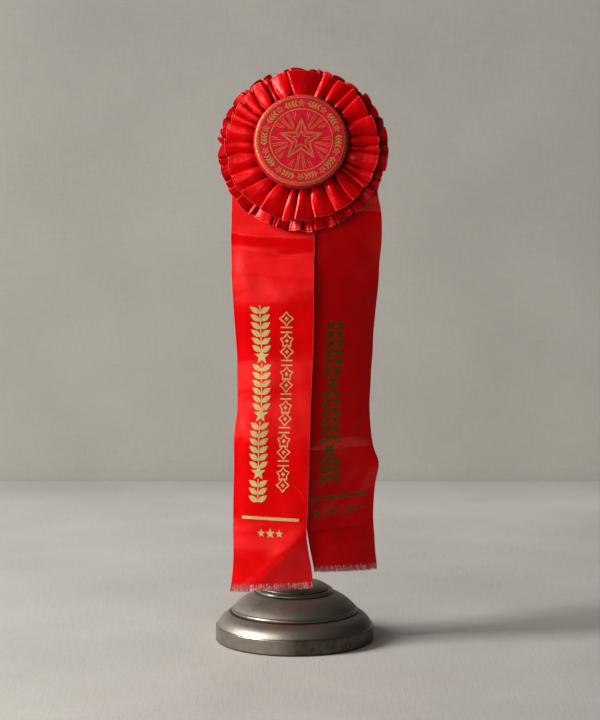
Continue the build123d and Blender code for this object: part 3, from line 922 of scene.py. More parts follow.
m_, n_cols = 66, 220
prof = []
for r in np.linspace(0.02, FLAT, 34):
    prof.append((r, float(button_w(r))))
for a in np.linspace(8, 90, 14):
    prof.append((FLAT + 2.2 * math.sin(math.radians(a)),
                 W_B1 - 0.32 - 2.2 * (1 - math.cos(math.radians(a)))))
for w in np.linspace(12.45, W_B0 + 0.25, 8):
    prof.append((R_B, float(w)))
for r, w in ((R_B - 0.2, 11.1), (R_B - 0.7, 11.04), (R_B - 1.6, 11.03)):
    prof.append((r, w))
prof = np.array(prof)
th = np.linspace(0, 2 * math.pi, n_cols, endpoint=False)
gr, gt = np.meshgrid(prof[:, 0], th, indexing="ij")
gw = np.repeat(prof[:, 1][:, None], n_cols, 1)
pucker = smooth(gr, R_B - 1.4, R_B - 0.1) * (0.5 + 0.5 * np.sin(gt * 41 + 1.3 * np.sin(gt * 5)))
gr2 = gr - 0.16 * pucker
gw2 = gw + 0.05 * waves(gr * np.cos(gt), gr * np.sin(gt), 77, 8, 14, 14)
BP = disc(B_U + gr2 * np.sin(gt), B_V + gr2 * np.cos(gt), gw2)
btn = cloth("button_cloth_cover", BP, 0.30 * MM, BUTTON, wrap=True,
            uv=np.stack([gr * np.sin(gt), gr * np.cos(gt)], -1))
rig.ride(btn, "rosette")
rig.slot(btn, "button_cloth")
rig.replaces(btn, "button_cover")


# ------------------------------------------------------------ printed gold shapes
def strip(bag_, pts, width, place, closed=False, tint=0.5, lift_mm=0.06, thick=0.07):
    """A flat line of foil along pts (surface coordinates), as a closed solid."""
    pts = np.asarray(pts, float)
    if closed:
        t = (np.roll(pts, -1, 0) - np.roll(pts, 1, 0))
    else:
        t = np.gradient(pts, axis=0)
    t /= np.maximum(np.linalg.norm(t, axis=1, keepdims=True), 1e-9)
    nrm = np.stack([-t[:, 1], t[:, 0]], 1)
    wd = np.full(len(pts), width) if np.isscalar(width) else np.asarray(width)
    L_ = pts + nrm * wd[:, None] / 2
    R_ = pts - nrm * wd[:, None] / 2
    rows_ = []
    for side, h in ((L_, -thick), (L_, 0), (R_, 0), (R_, -thick)):
        rows_.append(place(side[:, 0], side[:, 1], lift_mm + h))
    v = np.stack(rows_, 1).reshape(-1, 3)
    n_ = len(pts)
    faces = []
    for i in range(n_ if closed else n_ - 1):
        k2 = (i + 1) % n_
        for s in range(4):
            s2 = (s + 1) % 4
            faces.append((i * 4 + s, i * 4 + s2, k2 * 4 + s2, k2 * 4 + s))
    if not closed:
        faces.append((3, 2, 1, 0))
        e = (n_ - 1) * 4
        faces.append((e, e + 1, e + 2, e + 3))
    bag_.add(v, faces, tint)


def blob(bag_, outline, centre, place, tint=0.5, lift_mm=0.06, thick=0.07, rings=2):
    """A filled foil shape that is star-shaped about its centre."""
    out = np.asarray(outline, float)
    c_ = np.asarray(centre, float)
    n_ = len(out)
    v = [place(np.array([c_[0]]), np.array([c_[1]]), lift_mm)]
    for k_ in range(1, rings + 1):
        p = c_ + (out - c_) * k_ / rings
        v.append(place(p[:, 0], p[:, 1], lift_mm))
    v.append(place(out[:, 0], out[:, 1], lift_mm - thick))
    v.append(place(np.array([c_[0]]), np.array([c_[1]]), lift_mm - thick))
    v = np.vstack(v)
    last = len(v) - 1
    faces = []
    for i in range(n_):
        j_ = (i + 1) % n_
        faces.append((0, 1 + i, 1 + j_))
        for k_ in range(rings):
            a0 = 1 + k_ * n_
            a1 = a0 + n_
            faces.append((a0 + i, a1 + i, a1 + j_, a0 + j_))
        a0 = 1 + rings * n_
        faces.append((a0 + i, last, a0 + j_))
    bag_.add(v, faces, tint)


def dense(pts, step=0.5):
    pts = np.asarray(pts, float)
    out = []
    for a, b in zip(pts[:-1], pts[1:]):
        n_ = max(2, int(np.linalg.norm(b - a) / step) + 1)
        for q_ in np.linspace(0, 1, n_)[:-1]:
            out.append(a + (b - a) * q_)
    out.append(pts[-1])
    return np.array(out)


def star(c_, r, rot=0.0, inner=0.42, points=5, step=0.45):
    p = []
    for k_ in range(points * 2):
        a = rot + math.pi * k_ / points
        rr = r if k_ % 2 == 0 else r * inner
        p.append((c_[0] + rr * math.sin(a), c_[1] + rr * math.cos(a)))
    p.append(p[0])
    return dense(p, step)[:-1]


def leaf(base, ang, length, wide, k_=7):
    """Pointed leaf from its base, ang measured clockwise from +y."""
    q_ = np.linspace(0, 1, k_)
    half = wide / 2 * np.sin(np.pi * q_ ** 0.85)
    d = np.array([math.sin(ang), math.cos(ang)])
    s_ = np.array([math.cos(ang), -math.sin(ang)])
    left = base + q_[:, None] * length * d + half[:, None] * s_
    right = base + q_[::-1][:, None] * length * d - half[::-1][:, None] * s_
    out = np.vstack([left, right[1:-1]])
    return out, np.asarray(base) + d * length * 0.5


def place_button(x, y, h):
    """The print's own centre is a little above the button's."""
    u, v = np.asarray(x, float), np.asarray(y, float) + 0.95
    bx, by = u - B_U, v - B_V
    w = button_w(np.hypot(bx, by)) + 0.05 * waves(by, bx, 77, 8, 14, 14) + 0.15
    return disc(u, v, w + h)


def polar(r, a):
    return np.stack([r * np.sin(a), r * np.cos(a)], -1)


bag = Bag()
full = np.linspace(0, 2 * math.pi, 240, endpoint=False)
strip(bag, polar(20.95 + 0 * full, full), 0.20, place_button, True, 0.4)
strip(bag, polar(19.75 + 0 * full, full), 0.20, place_button, True, 0.4)
for k_ in range(92):         # twisted-rope border
    a = 2 * math.pi * k_ / 92
    q_ = np.linspace(-1, 1, 5)
    strip(bag, polar(20.35 + 0.42 * q_, a + 0.030 * np.sin(q_ * 1.4)), 0.22,
          place_button, False, 0.5)
strip(bag, polar(14.25 + 0 * full, full), 0.34, place_button, True, 0.5)
# band of laurel sprigs and open stars between the rings
for k_ in range(10):
    a0 = 2 * math.pi * k_ / 10
    c_ = polar(np.array(17.0), np.array(a0))
    strip(bag, star(c_, 1.65, a0), 0.26, place_button, True, 0.6)
    blob(bag, star(c_, 0.45, a0, step=0.4), c_, place_button, 0.6)
    mid_a = a0 + math.pi / 10
    arc = np.linspace(mid_a - 0.17, mid_a + 0.17, 9)
    strip(bag, polar(17.0 + 0 * arc, arc), 0.22, place_button, False, 0.5)
    for s_ in (-0.13, -0.045, 0.04, 0.125):
        base = polar(np.array(17.0), np.array(mid_a + s_))
        for side in (1, -1):
            o, c2 = leaf(base, mid_a + s_ + math.pi / 2 - side * 0.85, 2.15, 0.66)
            blob(bag, o, c2, place_button, 0.5)
# star in double outline with paired rays behind it
strip(bag, star((0, 0), 10.2, 0.0, 0.43), 0.26, place_button, True, 0.6)
strip(bag, star((0, 0), 8.9, 0.0, 0.43), 0.22, place_button, True, 0.5)
strip(bag, star((0, 0), 4.3, 0.0, 0.43), 0.24, place_button, True, 0.6)
for k_ in range(5):
    a = 2 * math.pi * k_ / 5
    strip(bag, dense([polar(np.array(4.3), np.array(a)),
                      polar(np.array(8.9), np.array(a))]), 0.18, place_button,
          False, 0.4)
    b_ = a + math.pi / 5
    strip(bag, dense([polar(np.array(1.85), np.array(b_)),
                      polar(np.array(3.83), np.array(b_))]), 0.18, place_button,
          False, 0.4)
    for f in (-0.42, -0.34, -0.17, -0.09, 0.09, 0.17, 0.34, 0.42):
        r_in = 4.9 + 13.4 * abs(f)
        strip(bag, dense([polar(np.array(r_in), np.array(b_ + f * 0.93)),
                          polar(np.array(13.3), np.array(b_ + f))]), 0.20,
              place_button, False, 0.5)
bp = bag.make("button_gold_print", GOLD_BUTTON, smooth=False)
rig.ride(bp, "rosette")
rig.slot(bp, "button_cloth")

# ------------------------------------------------------------------------- tails
WIDE = 38.1


def plane_y(X, Z, w):
    """Y of the rosette's plane at height w, for given X and Z in millimetres."""
    k_ = C_MM @ N + w
    return (k_ - X * N[0] - Z * N[2]) / N[1]


# left tail: edges as (Z, X), and its middle's depth as (Z, Y)
LEFT_L = [(223.5, -28.2), (208.8, -28.95), (195.0, -29.2), (181.2, -29.2),
          (162.9, -28.3), (149.0, -27.4), (137.4, -26.6), (125.8, -26.5),
          (111.0, -26.6), (102.5, -27.7), (83.8, -28.05), (65.1, -28.5),
          (53.4, -28.5), (45.4, -28.4), (39.3, -28.6), (27.0, -29.9)]
LEFT_R = [(223.5, 9.2), (208.0, 9.3), (192.8, 9.27), (181.4, 9.04), (163.0, 8.95),
          (149.2, 8.82), (135.3, 8.51), (126.0, 8.05), (109.8, 7.45), (102.8, 7.23),
          (84.2, 6.63), (65.6, 6.08), (53.9, 5.62), (45.9, 6.5), (39.8, 7.6),
          (27.0, 9.0)]
LEFT_Y = [(197, -16.2), (192, -16.1), (187.5, -15.1), (184.5, -15.2), (182, -15.8),
          (178, -17.4), (174.5, -18.7), (171, -19.3), (163, -19.6), (150, -18.7),
          (140, -17.7), (134, -17.6),
          (126, -18.3), (117, -19.0), (109, -19.9), (100, -20.9), (92, -21.1),
          (80, -20.8), (69, -20.6), (60, -20.4), (54, -21.0), (47, -22.0),
          (38, -22.4), (27, -23.0)]


def left_point(s, Z):
    """Middle surface of the left tail: s from 0 to 1 across, Z height, millimetres."""
    xl, xr = catmull(LEFT_L, Z), catmull(LEFT_R, Z)
    X = xl + (xr - xl) * s
    yp = plane_y(X, Z, -1.3)
    x0 = (xl + xr) / 2
    y = catmull(LEFT_Y, Z) - (X - x0) * 0.078
    c_ = 2 * s - 1
    # the upper creases run slightly downhill to the right
    shift = 4.5 * (s - 0.4) * smooth(Z, 165, 188) * (1 - smooth(Z, 196, 204))
    y = y + (catmull(LEFT_Y, np.clip(Z + shift, 27, 197)) - catmull(LEFT_Y, Z)) * 0.8
    y = y + 0.9 * c_**2 * (0.35 + 0.65 * smooth(Z, 190, 150))
    y = y + 1.1 * np.exp(-((s - 0.02) / 0.10) ** 2) * smooth(Z, 55, 75) * 0.6
    # soft dent inside the bright band, right of the middle
    y = y + 0.55 * np.exp(-((s - 0.66) / 0.17) ** 2 - ((Z - 183.0) / 2.1) ** 2)
    # pillow at the lower left, with the corner turned back along a slanting fold
    y = y - 1.1 * np.exp(-((s - 0.22) / 0.25) ** 2 - ((Z - 98) / 12) ** 2)
    y = y - 0.8 * np.exp(-((s - 0.35) / 0.22) ** 2 - ((Z - 122) / 7) ** 2)
    d = (X + 15.0) * 0.735 - (Z - 34.0) * 0.68
    fold = 1.5 * np.log1p(np.exp(np.clip(d / 1.5, -30, 30)))
    y = y + 0.30 * fold * (1 - smooth(Z, 56, 70))
    d2 = np.exp(-(d / 3.5) ** 2)
    y = y - 0.5 * d2 * (1 - smooth(Z, 52, 66))
    # thin creases across the middle right
    for (xa, za, xb, zb, dep) in ((-9, 92, -3, 84, 0.10), (-6, 84, 5.0, 72, 0.16),
                                  (-1, 80, 6, 70, 0.10)):
        L_ = math.hypot(xb - xa, zb - za)
        ux, uz = (xb - xa) / L_, (zb - za) / L_
        along = (X - xa) * ux + (Z - za) * uz
        across = (X - xa) * -uz + (Z - za) * ux
        y = y - dep * np.exp(-(across / 0.45) ** 2) * smooth(along, -1, 2) \
            * (1 - smooth(along, L_ - 2, L_ + 1))
    y = y + 0.14 * waves(X, Z, 41, 12, 13, 20) + 0.012 * waves(X, Z, 42, 10, 9, 6)
    up = smooth(Z, 190, 198)
    y = y * (1 - up) + yp * up
    return np.stack([X, y, Z + 0 * X], -1)


# right tail: middle line's turn and edges
RIGHT_R = [(223.5, 37.5), (210.6, 38.6), (203.6, 40.1), (189.4, 40.6), (177.6, 40.0),
           (165.7, 39.5), (156.2, 38.5), (146.7, 37.6), (137.2, 36.9), (127.6, 36.0),
           (113.3, 35.3), (103.7, 35.7), (94.1, 37.0), (89.3, 38.1), (84.6, 39.6),
           (81.0, 39.9), (76.5, 39.4), (70.0, 38.6), (60.3, 38.0), (48.2, 38.0),
           (33.0, 39.0)]
RIGHT_L = [(223.5, 9.6), (205, 9.6), (190, 9.4), (160, 8.4), (120, 6.8), (90, 5.4),
           (70, 4.9), (58, 5.3), (49.6, 6.6), (42.5, 7.9), (33.0, 9.9)]
RIGHT_A = [(223.5, 4), (205, 9), (196, 14), (186, 20), (172, 26), (155, 31),
           (120, 34), (90, 33), (60, 33), (33, 33)]
RIGHT_Y = [(223.5, -11.0), (205, -13.0), (196, -12.7), (186, -11.8), (172, -11.2),
           (150, -11.0), (110, -10.6), (80, -10.8), (60, -11.0), (33, -11.2)]


def right_point(s, Z):
    """Middle surface of the right tail, which faces to the right."""
    xl, xr = catmull(RIGHT_L, Z), catmull(RIGHT_R, Z)
    ang = np.radians(catmull(RIGHT_A, Z))
    chord = (xr - xl) / np.cos(ang)
    sag = np.sqrt(np.maximum(0.0, WIDE - chord) * 0.375 * WIDE)
    sag = np.minimum(sag, 4.2)
    nx, ny = np.sin(ang), -np.cos(ang)
    side = sag * (0.55 - 2.2 * (s - 0.5) ** 2) * smooth(Z, 205, 180)
    X = xl + (xr - xl) * s + nx * side
    Y = catmull(RIGHT_Y, Z) + (xr - xl) * s * np.tan(ang) + ny * side
    rip = 0.45 * np.sin((Z - 95) / 15.0) * (2 * s - 0.6) * (1 - smooth(Z, 175, 200))
    rip = rip + 0.12 * waves(s * 38, Z, 51, 12, 12, 16)
    dent = 1.0 * np.exp(-((s - 0.98) / 0.22) ** 2 - ((Z - 83) / 5.5) ** 2)
    X = X + nx * (rip + dent)
    Y = Y + ny * (rip + dent)
    yp = plane_y(X, Z, -1.3)
    up = smooth(Z, 203, 213)
    Y = Y * (1 - up) + yp * up
    return np.stack([X, Y, Z + 0 * X], -1)


def lattice(fn, z_top, z_low, z_low_right, nz, ns):
    """Grid of the tail, rows from the top down, metres."""
    s = np.linspace(0, 1, ns)
    f = np.linspace(0, 1, nz)
    low = z_low + (z_low_right - z_low) * s
    Z = z_top + (low[None] - z_top) * f[:, None]
    S = np.repeat(s[None], nz, 0)
    return fn(S, Z) * MM, S, Z


def tail_uv(P, S):
    step = np.linalg.norm(np.diff(P[:, P.shape[1] // 2], axis=0), axis=1) / MM
    run = np.concatenate([[0], np.cumsum(step)])
    return np.stack([S * WIDE, np.repeat(run[:, None], S.shape[1], 1)], -1), run[-1]


def to_side(P):
    """+1 where the grid's normals face the viewer's side, or -1."""
    return 1 if float(np.mean(grid_normals(P)[:, :, 1])) < 0 else -1


tails = {}
for name, fn, ztop, zl, zr, ns_ in (("left", left_point, 223.4, 28.9, 29.2, 110),
                                    ("right", right_point, 223.4, 35.6, 33.6, 110)):
    P, S, Z = lattice(fn, ztop, zl, zr, 420, ns_)
    uv, run = tail_uv(P, S)
    edge = np.minimum(S, 1 - S) * WIDE
    ob = cloth(f"tail_{name}_satin", P, 0.20 * MM, RED_TAIL, uv=uv)
    tails[name] = dict(P=P, S=S, Z=Z, fn=fn, run=run, ob=ob, nrm=grid_normals(P) * to_side(P))

BEND = {"left": ((0, -0.0166, 0.1965), (0, -0.0166, 0.1885)),
        "right": ((0.0249, 0, 0.1985), (0.0249, 0, 0.1855))}
for name in ("left", "right"):
    t_ = tails[name]
    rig.replaces(t_["ob"], f"streamer_{name}", f"streamer_{name}_top")
    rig.blend(t_["ob"], "rosette", f"streamer_{name}", start=BEND[name][0],
             end=BEND[name][1])
    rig.slot(t_["ob"], "red_satin")


def placer(name):
    """Foil positions on a tail: x is millimetres from its left edge, y is height Z."""
    fn = tails[name]["fn"]

    def place(x, y, h):
        s = np.asarray(x, float) / WIDE
        y = np.asarray(y, float)
        p = fn(s, y)
        e = 0.05
        ds = (fn(s + e / WIDE, y) - fn(s - e / WIDE, y))
        dz = (fn(s, y + e) - fn(s, y - e))
        n_ = np.cross(ds, dz)
        n_ /= np.maximum(np.linalg.norm(n_, axis=-1, keepdims=True), 1e-12)
        n_ *= np.where(n_[..., 1:2] < 0, 1, -1)
        return (p + n_ * (0.10 + h)) * MM
    return place


def garland(bag_, place, x0, x1, top, low, unit, seed, up=1, stars=True):
    """A laurel band between x0 and x1, in groups with a star between them."""
    g_ = np.random.default_rng(seed)
    cx, half = (x0 + x1) / 2, (x1 - x0) / 2
    y = top
    k_ = 0
    while y - unit > low + 0.2:
        if stars and k_ % 7 == 6:
            blob(bag_, star((cx, y - unit * 0.62), half * 0.86, 0 if up > 0 else math.pi),
                 (cx, y - unit * 0.62), place, 0.6, rings=3)
            y -= unit * 1.45
            k_ += 1
            continue
        base = y - unit if up > 0 else y
        strip(bag_, dense([(cx, y), (cx, y - unit * 0.98)], 0.6), 0.52, place, False, 0.5)
        for side in (-1, 1):
            ang = side * 0.98 if up > 0 else math.pi - side * 0.98
            o, c2 = leaf(np.array([cx + side * 0.2, base]), ang, half / math.sin(0.98),
                         unit * 0.72, 8)
            blob(bag_, o, c2, place, 0.5)
        y -= unit
        k_ += 1
    return y


def chain(bag_, place, x0, x1, top, low, unit):
    """Diamonds and pairs of bars, one under another."""
    cx, half = (x0 + x1) / 2, (x1 - x0) / 2
    y, k_ = top, 0
    while y - unit > low:
        c_ = (cx, y - unit / 2)
        if k_ % 3 == 1:
            for f in (-0.22, 0.22):
                strip(bag_, dense([(cx - half * 0.8, c_[1] + f * unit),
                                   (cx + half * 0.8, c_[1] + f * unit)], 0.6), 0.62,
                      place, False, 0.5)
        else:
            strip(bag_, star(c_, half * 0.92, 0, 0.62, 4 if k_ % 3 == 0 else 5), 0.55,
                  place, True, 0.6)
            blob(bag_, star(c_, half * 0.30, 0, 0.6, 4, 0.4), c_, place, 0.5)
        y -= unit
        k_ += 1


bag = Bag()
PL = placer("left")
garland(bag, PL, 8.0, 17.0, 160.5, 67.0, 3.6, 1, up=1)
chain(bag, PL, 21.6, 28.6, 157.0, 69.5, 5.15)
strip(bag, dense([(4.6, 62.0), (34.0, 60.7)], 0.5), 1.35, PL, False, 0.5)
for k_ in range(3):
    c_ = (14.6 + k_ * 4.7, 54.6 - 0.15 * k_)
    blob(bag, star(c_, 2.5 if k_ == 1 else 2.1), c_, PL, 0.6, rings=3)
fl = bag.make("tail_left_foil", GOLD, smooth=False)
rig.ride(fl, "streamer_left")
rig.slot(fl, "red_satin")

bag = Bag()
PR = placer("right")
garland(bag, PR, 7.2, 18.6, 152.0, 74.2, 4.3, 2, up=-1)
strip(bag, dense([(2.4, 68.3), (33.8, 68.9)], 0.5), 1.45, PR, False, 0.5)
for k_ in range(6):
    c_ = (6.0 + k_ * 4.75, 61.6 + 0.1 * k_)
    if k_ % 2 == 0:
        blob(bag, star(c_, 2.6), c_, PR, 0.6, rings=3)
    else:
        strip(bag, star(c_, 2.3, 0, 0.62, 4), 0.5, PR, True, 0.6)
fr = bag.make("tail_right_foil", GOLD_SHADED, smooth=False)
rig.ride(fr, "streamer_right")
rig.slot(fr, "red_satin")

# woven selvedges: a thin cord of small picots down both long edges
for name in ("left", "right"):
    t_ = tails[name]
    bag = Bag()
    g_ = np.random.default_rng(61 if name == "left" else 62)
    for col, s_ in ((0, 1), (-1, -1)):
        line = t_["P"][:, col]
        inner = t_["P"][:, 1 if col == 0 else -2]
        seg = np.linalg.norm(np.diff(line, axis=0), axis=1)
        cum = np.concatenate([[0], np.cumsum(seg)])
        nn = t_["nrm"][:, col]
        for d in np.arange(0.0003, cum[-1], 0.00056):
            i = min(int(np.searchsorted(cum, d, side="right")) - 1, len(seg) - 1)
            q_ = (d - cum[i]) / max(seg[i], 1e-9)
            p = line[i] * (1 - q_) + line[i + 1] * q_
            t = line[i + 1] - line[i]
            t /= max(np.linalg.norm(t), 1e-12)
            out = line[i] - inner[i]
            out /= max(np.linalg.norm(out), 1e-12)
            v, f_ = capsule(p - out * 0.05 * MM, t, nn[i], 0.50 * MM, 0.34 * MM,
                            0.32 * MM)
            bag.add(v, f_, float(np.clip(g_.normal(0.5, 0.2), 0, 1)))
    se = bag.make(f"tail_{name}_selvedge", SELV)
    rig.blend(se, "rosette", f"streamer_{name}", start=BEND[name][0], end=BEND[name][1])
    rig.slot(se, "red_satin")

# frayed cut ends: loose warp threads over and below the last weft
for name, count, seed in (("left", 190, 71), ("right", 190, 72)):
    t_ = tails[name]
    g_ = np.random.default_rng(seed)
    bag = Bag()
    fn = t_["fn"]
    zl, zr = (28.9, 29.2) if name == "left" else (35.6, 33.6)
    for layer in (0, 1):
        for k_ in range(count):
            s = (k_ + g_.uniform(0.3, 0.7)) / count
            z0 = zl + (zr - zl) * s
            z_start = z0 + (g_.uniform(1.2, 2.2) if layer else g_.uniform(0.4, 1.0))
            ln = g_.normal(1.15, 0.22)
            if name == "left":
                if s < 0.44 and s >= 0.235:
                    ln = g_.normal(1.0, 0.3)
                if s < 0.235:
                    ln = g_.normal(1.75, 0.08)
                elif s < 0.262:
                    ln = g_.normal(0.25, 0.1)
            if layer and g_.uniform() < 0.25:
                continue
            lean_ = g_.normal(0, 0.14)
            curl = g_.normal(0, 0.22)
            here = fn(np.array(s), np.array(z0))
            slope = (here - fn(np.array(s), np.array(z0 + 2.0))) / 2.0
            pts = []
            for q_ in np.linspace(0, 1, 6):
                zz = z_start - (z_start - z0 + ln) * q_
                base = fn(np.array(s), np.array(max(zz, z0)))
                p = base + slope * max(0.0, z0 - zz)
                p = p + np.array([lean_ * q_ * 1.2 + 0.10 * math.sin(q_ * 6 + k_),
                                  -0.13 - 0.10 * layer + curl * q_**2 * 0.6, 0.0])
                pts.append(p * MM)
            rad = np.array([0.06, 0.12, 0.12, 0.12, 0.10, 0.06]) * MM
            v, f_ = tube(pts, rad, 5)
            pale = g_.uniform() < (0.34 if layer else 0.10)
            if name == "left" and s < 0.235:
                pale = pale and g_.uniform() < 0.25
            bag.add(v, f_, float(g_.uniform(0.55, 1.0) if pale
                                 else g_.uniform(0.0, 0.28)))
    for k_ in range(18):       # stray crossing threads
        s = g_.uniform(0.26 if name == "left" else 0.05, 0.94)
        z0 = zl + (zr - zl) * s + g_.uniform(-0.8, 1.2)
        a = fn(np.array(s), np.array(max(z0, zl))) + np.array([0, -0.40,
                                                               min(0, z0 - zl)])
        dx = g_.uniform(0.8, 2.2)
        pts = [(a + np.array([dx * q_, -0.10 * math.sin(3 * q_),
                              0.6 * math.sin(3.0 * q_ + k_) - 0.3 * q_])) * MM
               for q_ in np.linspace(0, 1, 7)]
        v, f_ = tube(pts, 0.07 * MM, 5)
        bag.add(v, f_, float(g_.uniform(0.6, 1.0)))
    fo = bag.make(f"tail_{name}_fray", FRAY)
    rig.ride(fo, f"streamer_{name}")
    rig.slot(fo, "red_satin")

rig.sheet(tails["left"]["ob"], flat=(0.0381, 0.196), held="hung",
         rests_on=["backing_card"],
         with_pieces=["tail_left_foil", "tail_left_selvedge", "tail_left_fray"])
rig.sheet(tails["right"]["ob"], flat=(0.0381, 0.190), held="hung",
         rests_on=["backing_card"],
         with_pieces=["tail_right_foil", "tail_right_selvedge", "tail_right_fray"])
print("STRIP LENGTHS mm", round(front_len), round(rear_len))
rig.sheet(front_ob, flat=(0.017, front_len * MM * 0.86), held="gathered",
         rests_on=["middle_card"], with_pieces=["ruffle_front_stitches"])
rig.sheet(rear_ob, flat=(0.021, rear_len * MM * 0.82), held="gathered",
         rests_on=["backing_card"], with_pieces=["ruffle_rear_stitches"])

# ------------------------------------------------------------- torsion spring
lo, hi = [np.array(v, float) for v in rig.box("clip_spring")]
pc = np.array(JOINT["clip_open"]["pos_m"], float)
ax = np.array(JOINT["clip_open"]["axis"], float)
ax /= np.linalg.norm(ax)
e2 = np.array([0, 0, 1.0])
e1 = np.cross(e2, ax)
bag = Bag()
for side in (-1, 1):
    pts = []
    for q_ in np.linspace(0, 1, 90):
        a = q_ * 2 * math.pi * 4.0 + (0 if side > 0 else math.pi)
        off = side * (3.15 + 2.0 * q_) * MM
        r = 1.45 * MM
        pts.append(pc + ax * off + r * (math.cos(a) * e1 + math.sin(a) * e2))
    v, f_ = tube(pts, 0.25 * MM, 8)
    bag.add(v, f_, 0.5)
sp_ob = bag.make("clip_spring_wire", STEEL)
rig.ride(sp_ob, "stand")
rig.slot(sp_ob, "nickel")
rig.replaces(sp_ob, "clip_spring")

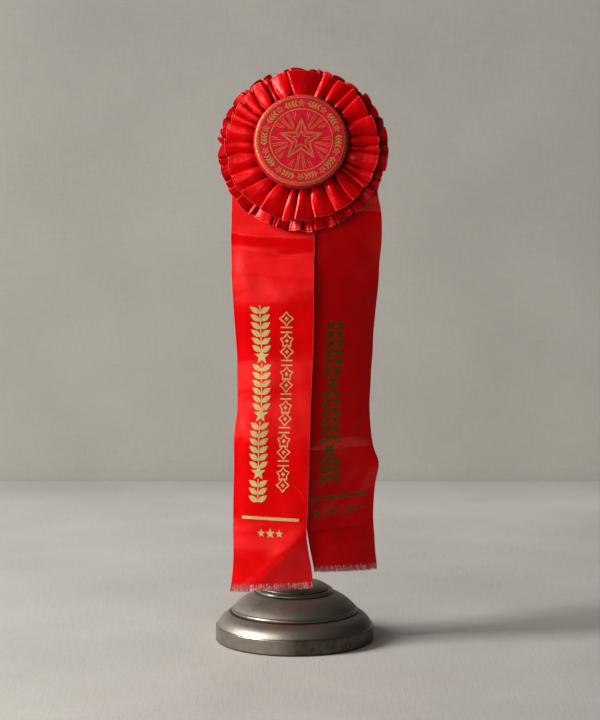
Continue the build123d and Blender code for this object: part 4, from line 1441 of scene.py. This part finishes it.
# ------------------------------------------------------------- floor and backdrop
def backdrop():
    prof_ = [(-0.17, 0.0), (0.0, 0.0), (0.30, 0.0), (0.476, 0.0)]
    for a in np.linspace(10, 90, 9):
        prof_.append((0.476 + 0.009 * math.sin(math.radians(a)),
                      0.009 - 0.009 * math.cos(math.radians(a))))
    prof_ += [(0.487, 0.3), (0.49, 1.2)]
    xs = np.linspace(-0.62, 0.36, 12)
    verts = [(x, y, z) for y, z in prof_ for x in xs]
    n_ = len(xs)
    faces = [(i * n_ + j, i * n_ + j + 1, (i + 1) * n_ + j + 1, (i + 1) * n_ + j)
             for i in range(len(prof_) - 1) for j in range(n_ - 1)]
    s = Mat("studio_floor")
    g_ = s.mapped("Object", (1, 1, 1))
    c1 = s.noise(g_, 12, 4.0)
    c2 = s.noise(g_, 420, 3.0)
    thread_x = s.noise(s.mapped("Object", (60, 900, 900)), 1.0, 2.0)
    thread_y = s.noise(s.mapped("Object", (900, 60, 60)), 1.0, 2.0)
    f = s.math("ADD", s.math("MULTIPLY", c1, 0.5), s.math("MULTIPLY", c2, 0.2))
    f = s.math("ADD", f, s.math("MULTIPLY", s.math("ADD", thread_x, thread_y), 0.15))
    floor_c = s.ramp(f, [(0.35, srgb(174, 171, 166)), (0.65, srgb(192, 189, 184))])
    wall_c = s.ramp(f, [(0.35, srgb(144, 141, 135)), (0.65, srgb(155, 152, 146))])
    tc = s.node("ShaderNodeTexCoord")
    sep = s.node("ShaderNodeSeparateXYZ")
    s.link(tc.outputs["Object"], sep.inputs[0])
    up = s.math("DIVIDE", sep.outputs[2], 0.0008, True)
    # painted light: the floor is painted up to a tenth paler towards the back
    back = s.math("MULTIPLY", s.math("SUBTRACT", sep.outputs[1], 0.05), 3.0, True)
    lift = s.node("ShaderNodeCombineColor")
    for i_ in range(3):
        s.link(s.math("ADD", 1.0, s.math("MULTIPLY", back, 0.10)), lift.inputs[i_])
    floor_c = s.mix(1.0, floor_c, lift.outputs[0], "MULTIPLY")
    # painted shade: the floor turns darker, towards the wall's colour, near the foot of the wall
    wall_foot_shade = s.math("DIVIDE", s.math("SUBTRACT", sep.outputs[1], 0.39), 0.085, True)
    floor_c = s.mix(s.math("MULTIPLY", wall_foot_shade, 0.42), floor_c, wall_c)
    # painted shade: the curved corner catches more light than floor or wall, so it is painted darker
    corner_shade = s.ramp(s.math("DIVIDE", sep.outputs[2], 0.010, True),
                   [(0.0, (1, 1, 1)), (0.05, (0.98,) * 3), (0.12, (0.94,) * 3),
                    (0.28, (0.90,) * 3), (0.48, (0.90,) * 3), (0.72, (0.94,) * 3),
                    (0.95, (1, 1, 1))])
    # painted shade: the wall is painted up to 7.5% darker towards its top
    high = s.math("DIVIDE", s.math("SUBTRACT", sep.outputs[2], 0.17), 0.15, True)
    high = s.math("SUBTRACT", 1.0, s.math("MULTIPLY", high, 0.075))
    wall_c = s.mix(1.0, wall_c, corner_shade, "MULTIPLY")
    both = s.mix(up, floor_c, wall_c)
    # painted light: the cloth is painted a little paler towards the right and back, away from the lamp; this factor
    # also carries the painted shade towards the top of the wall
    right = s.math("MULTIPLY", s.math("ADD", sep.outputs[0], 0.16), 3.0, True)
    painted_light_and_shade = s.math("ADD", 1.0, s.math("MULTIPLY", s.math("MULTIPLY", back, right), 0.29))
    painted_light_and_shade = s.math("MULTIPLY", painted_light_and_shade, high)
    tone = s.node("ShaderNodeCombineColor")
    for i_ in range(3):
        s.link(painted_light_and_shade, tone.inputs[i_])
    s.link(s.mix(1.0, both, tone.outputs[0], "MULTIPLY"), s.b.inputs["Base Color"])
    s.link(s.rrange(c2, 0.8, 0.95), s.b.inputs["Roughness"])
    s.set(Specular_IOR_Level=0.15)
    b1 = s.bump(c2, 0.0002, 0.25)
    s.bump(s.math("ADD", thread_x, thread_y), 0.0002, 0.3, b1)
    # the backdrop is one-sided, so it hides nothing when looked at from behind
    geo = s.node("ShaderNodeNewGeometry")
    clear = s.node("ShaderNodeBsdfTransparent")
    pick = s.node("ShaderNodeMixShader")
    s.link(geo.outputs["Backfacing"], pick.inputs[0])
    s.link(s.b.outputs[0], pick.inputs[1])
    s.link(clear.outputs[0], pick.inputs[2])
    s.link(pick.outputs[0], s.n["Material Output"].inputs["Surface"])
    ob_ = link("studio_floor", verts, faces, s.m)
    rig.stage(ob_)


backdrop()


# ------------------------------------------------------------------------ lights
def area(name, loc, target, size, power, color=(1, 1, 1)):
    d = bpy.data.lights.new(name, "AREA")
    d.shape = "RECTANGLE"
    d.size, d.size_y = size
    d.energy = power
    d.color = color
    o = bpy.data.objects.new(name, d)
    o.location = loc
    o.rotation_euler = (Vector(target) - Vector(loc)).to_track_quat("-Z", "Y").to_euler()
    scene.collection.objects.link(o)
    return o


area("key", (-1.05, -0.36, 0.66), (0.0, 0.0, 0.10), (0.42, 0.62), 26.0,
     (1.0, 0.985, 0.96))
fill = area("fill", (-0.46, -1.28, 0.25), (0.0, 0.0, 0.13), (0.70, 0.40), 5.2,
            (1.0, 0.985, 0.965))
fill.visible_glossy = False      # a soft fill with no hard reflection of its own
area("front", (-0.66, -1.22, 0.25), (0.0, 0.0, 0.13), (0.70, 0.30), 2.2,
     (1.0, 0.985, 0.965))
world = bpy.data.worlds.new("studio")
scene.world = world
world.use_nodes = True
bg = world.node_tree.nodes["Background"]
bg.inputs[0].default_value = (1.0, 0.93, 0.86, 1)
bg.inputs[1].default_value = 0.075

json.dump({"cad": [[float(x) for x in v] for v in cad_box],
           "visual": [[float(x) for x in v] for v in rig.bounds()]},
          open("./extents.json", "w"))
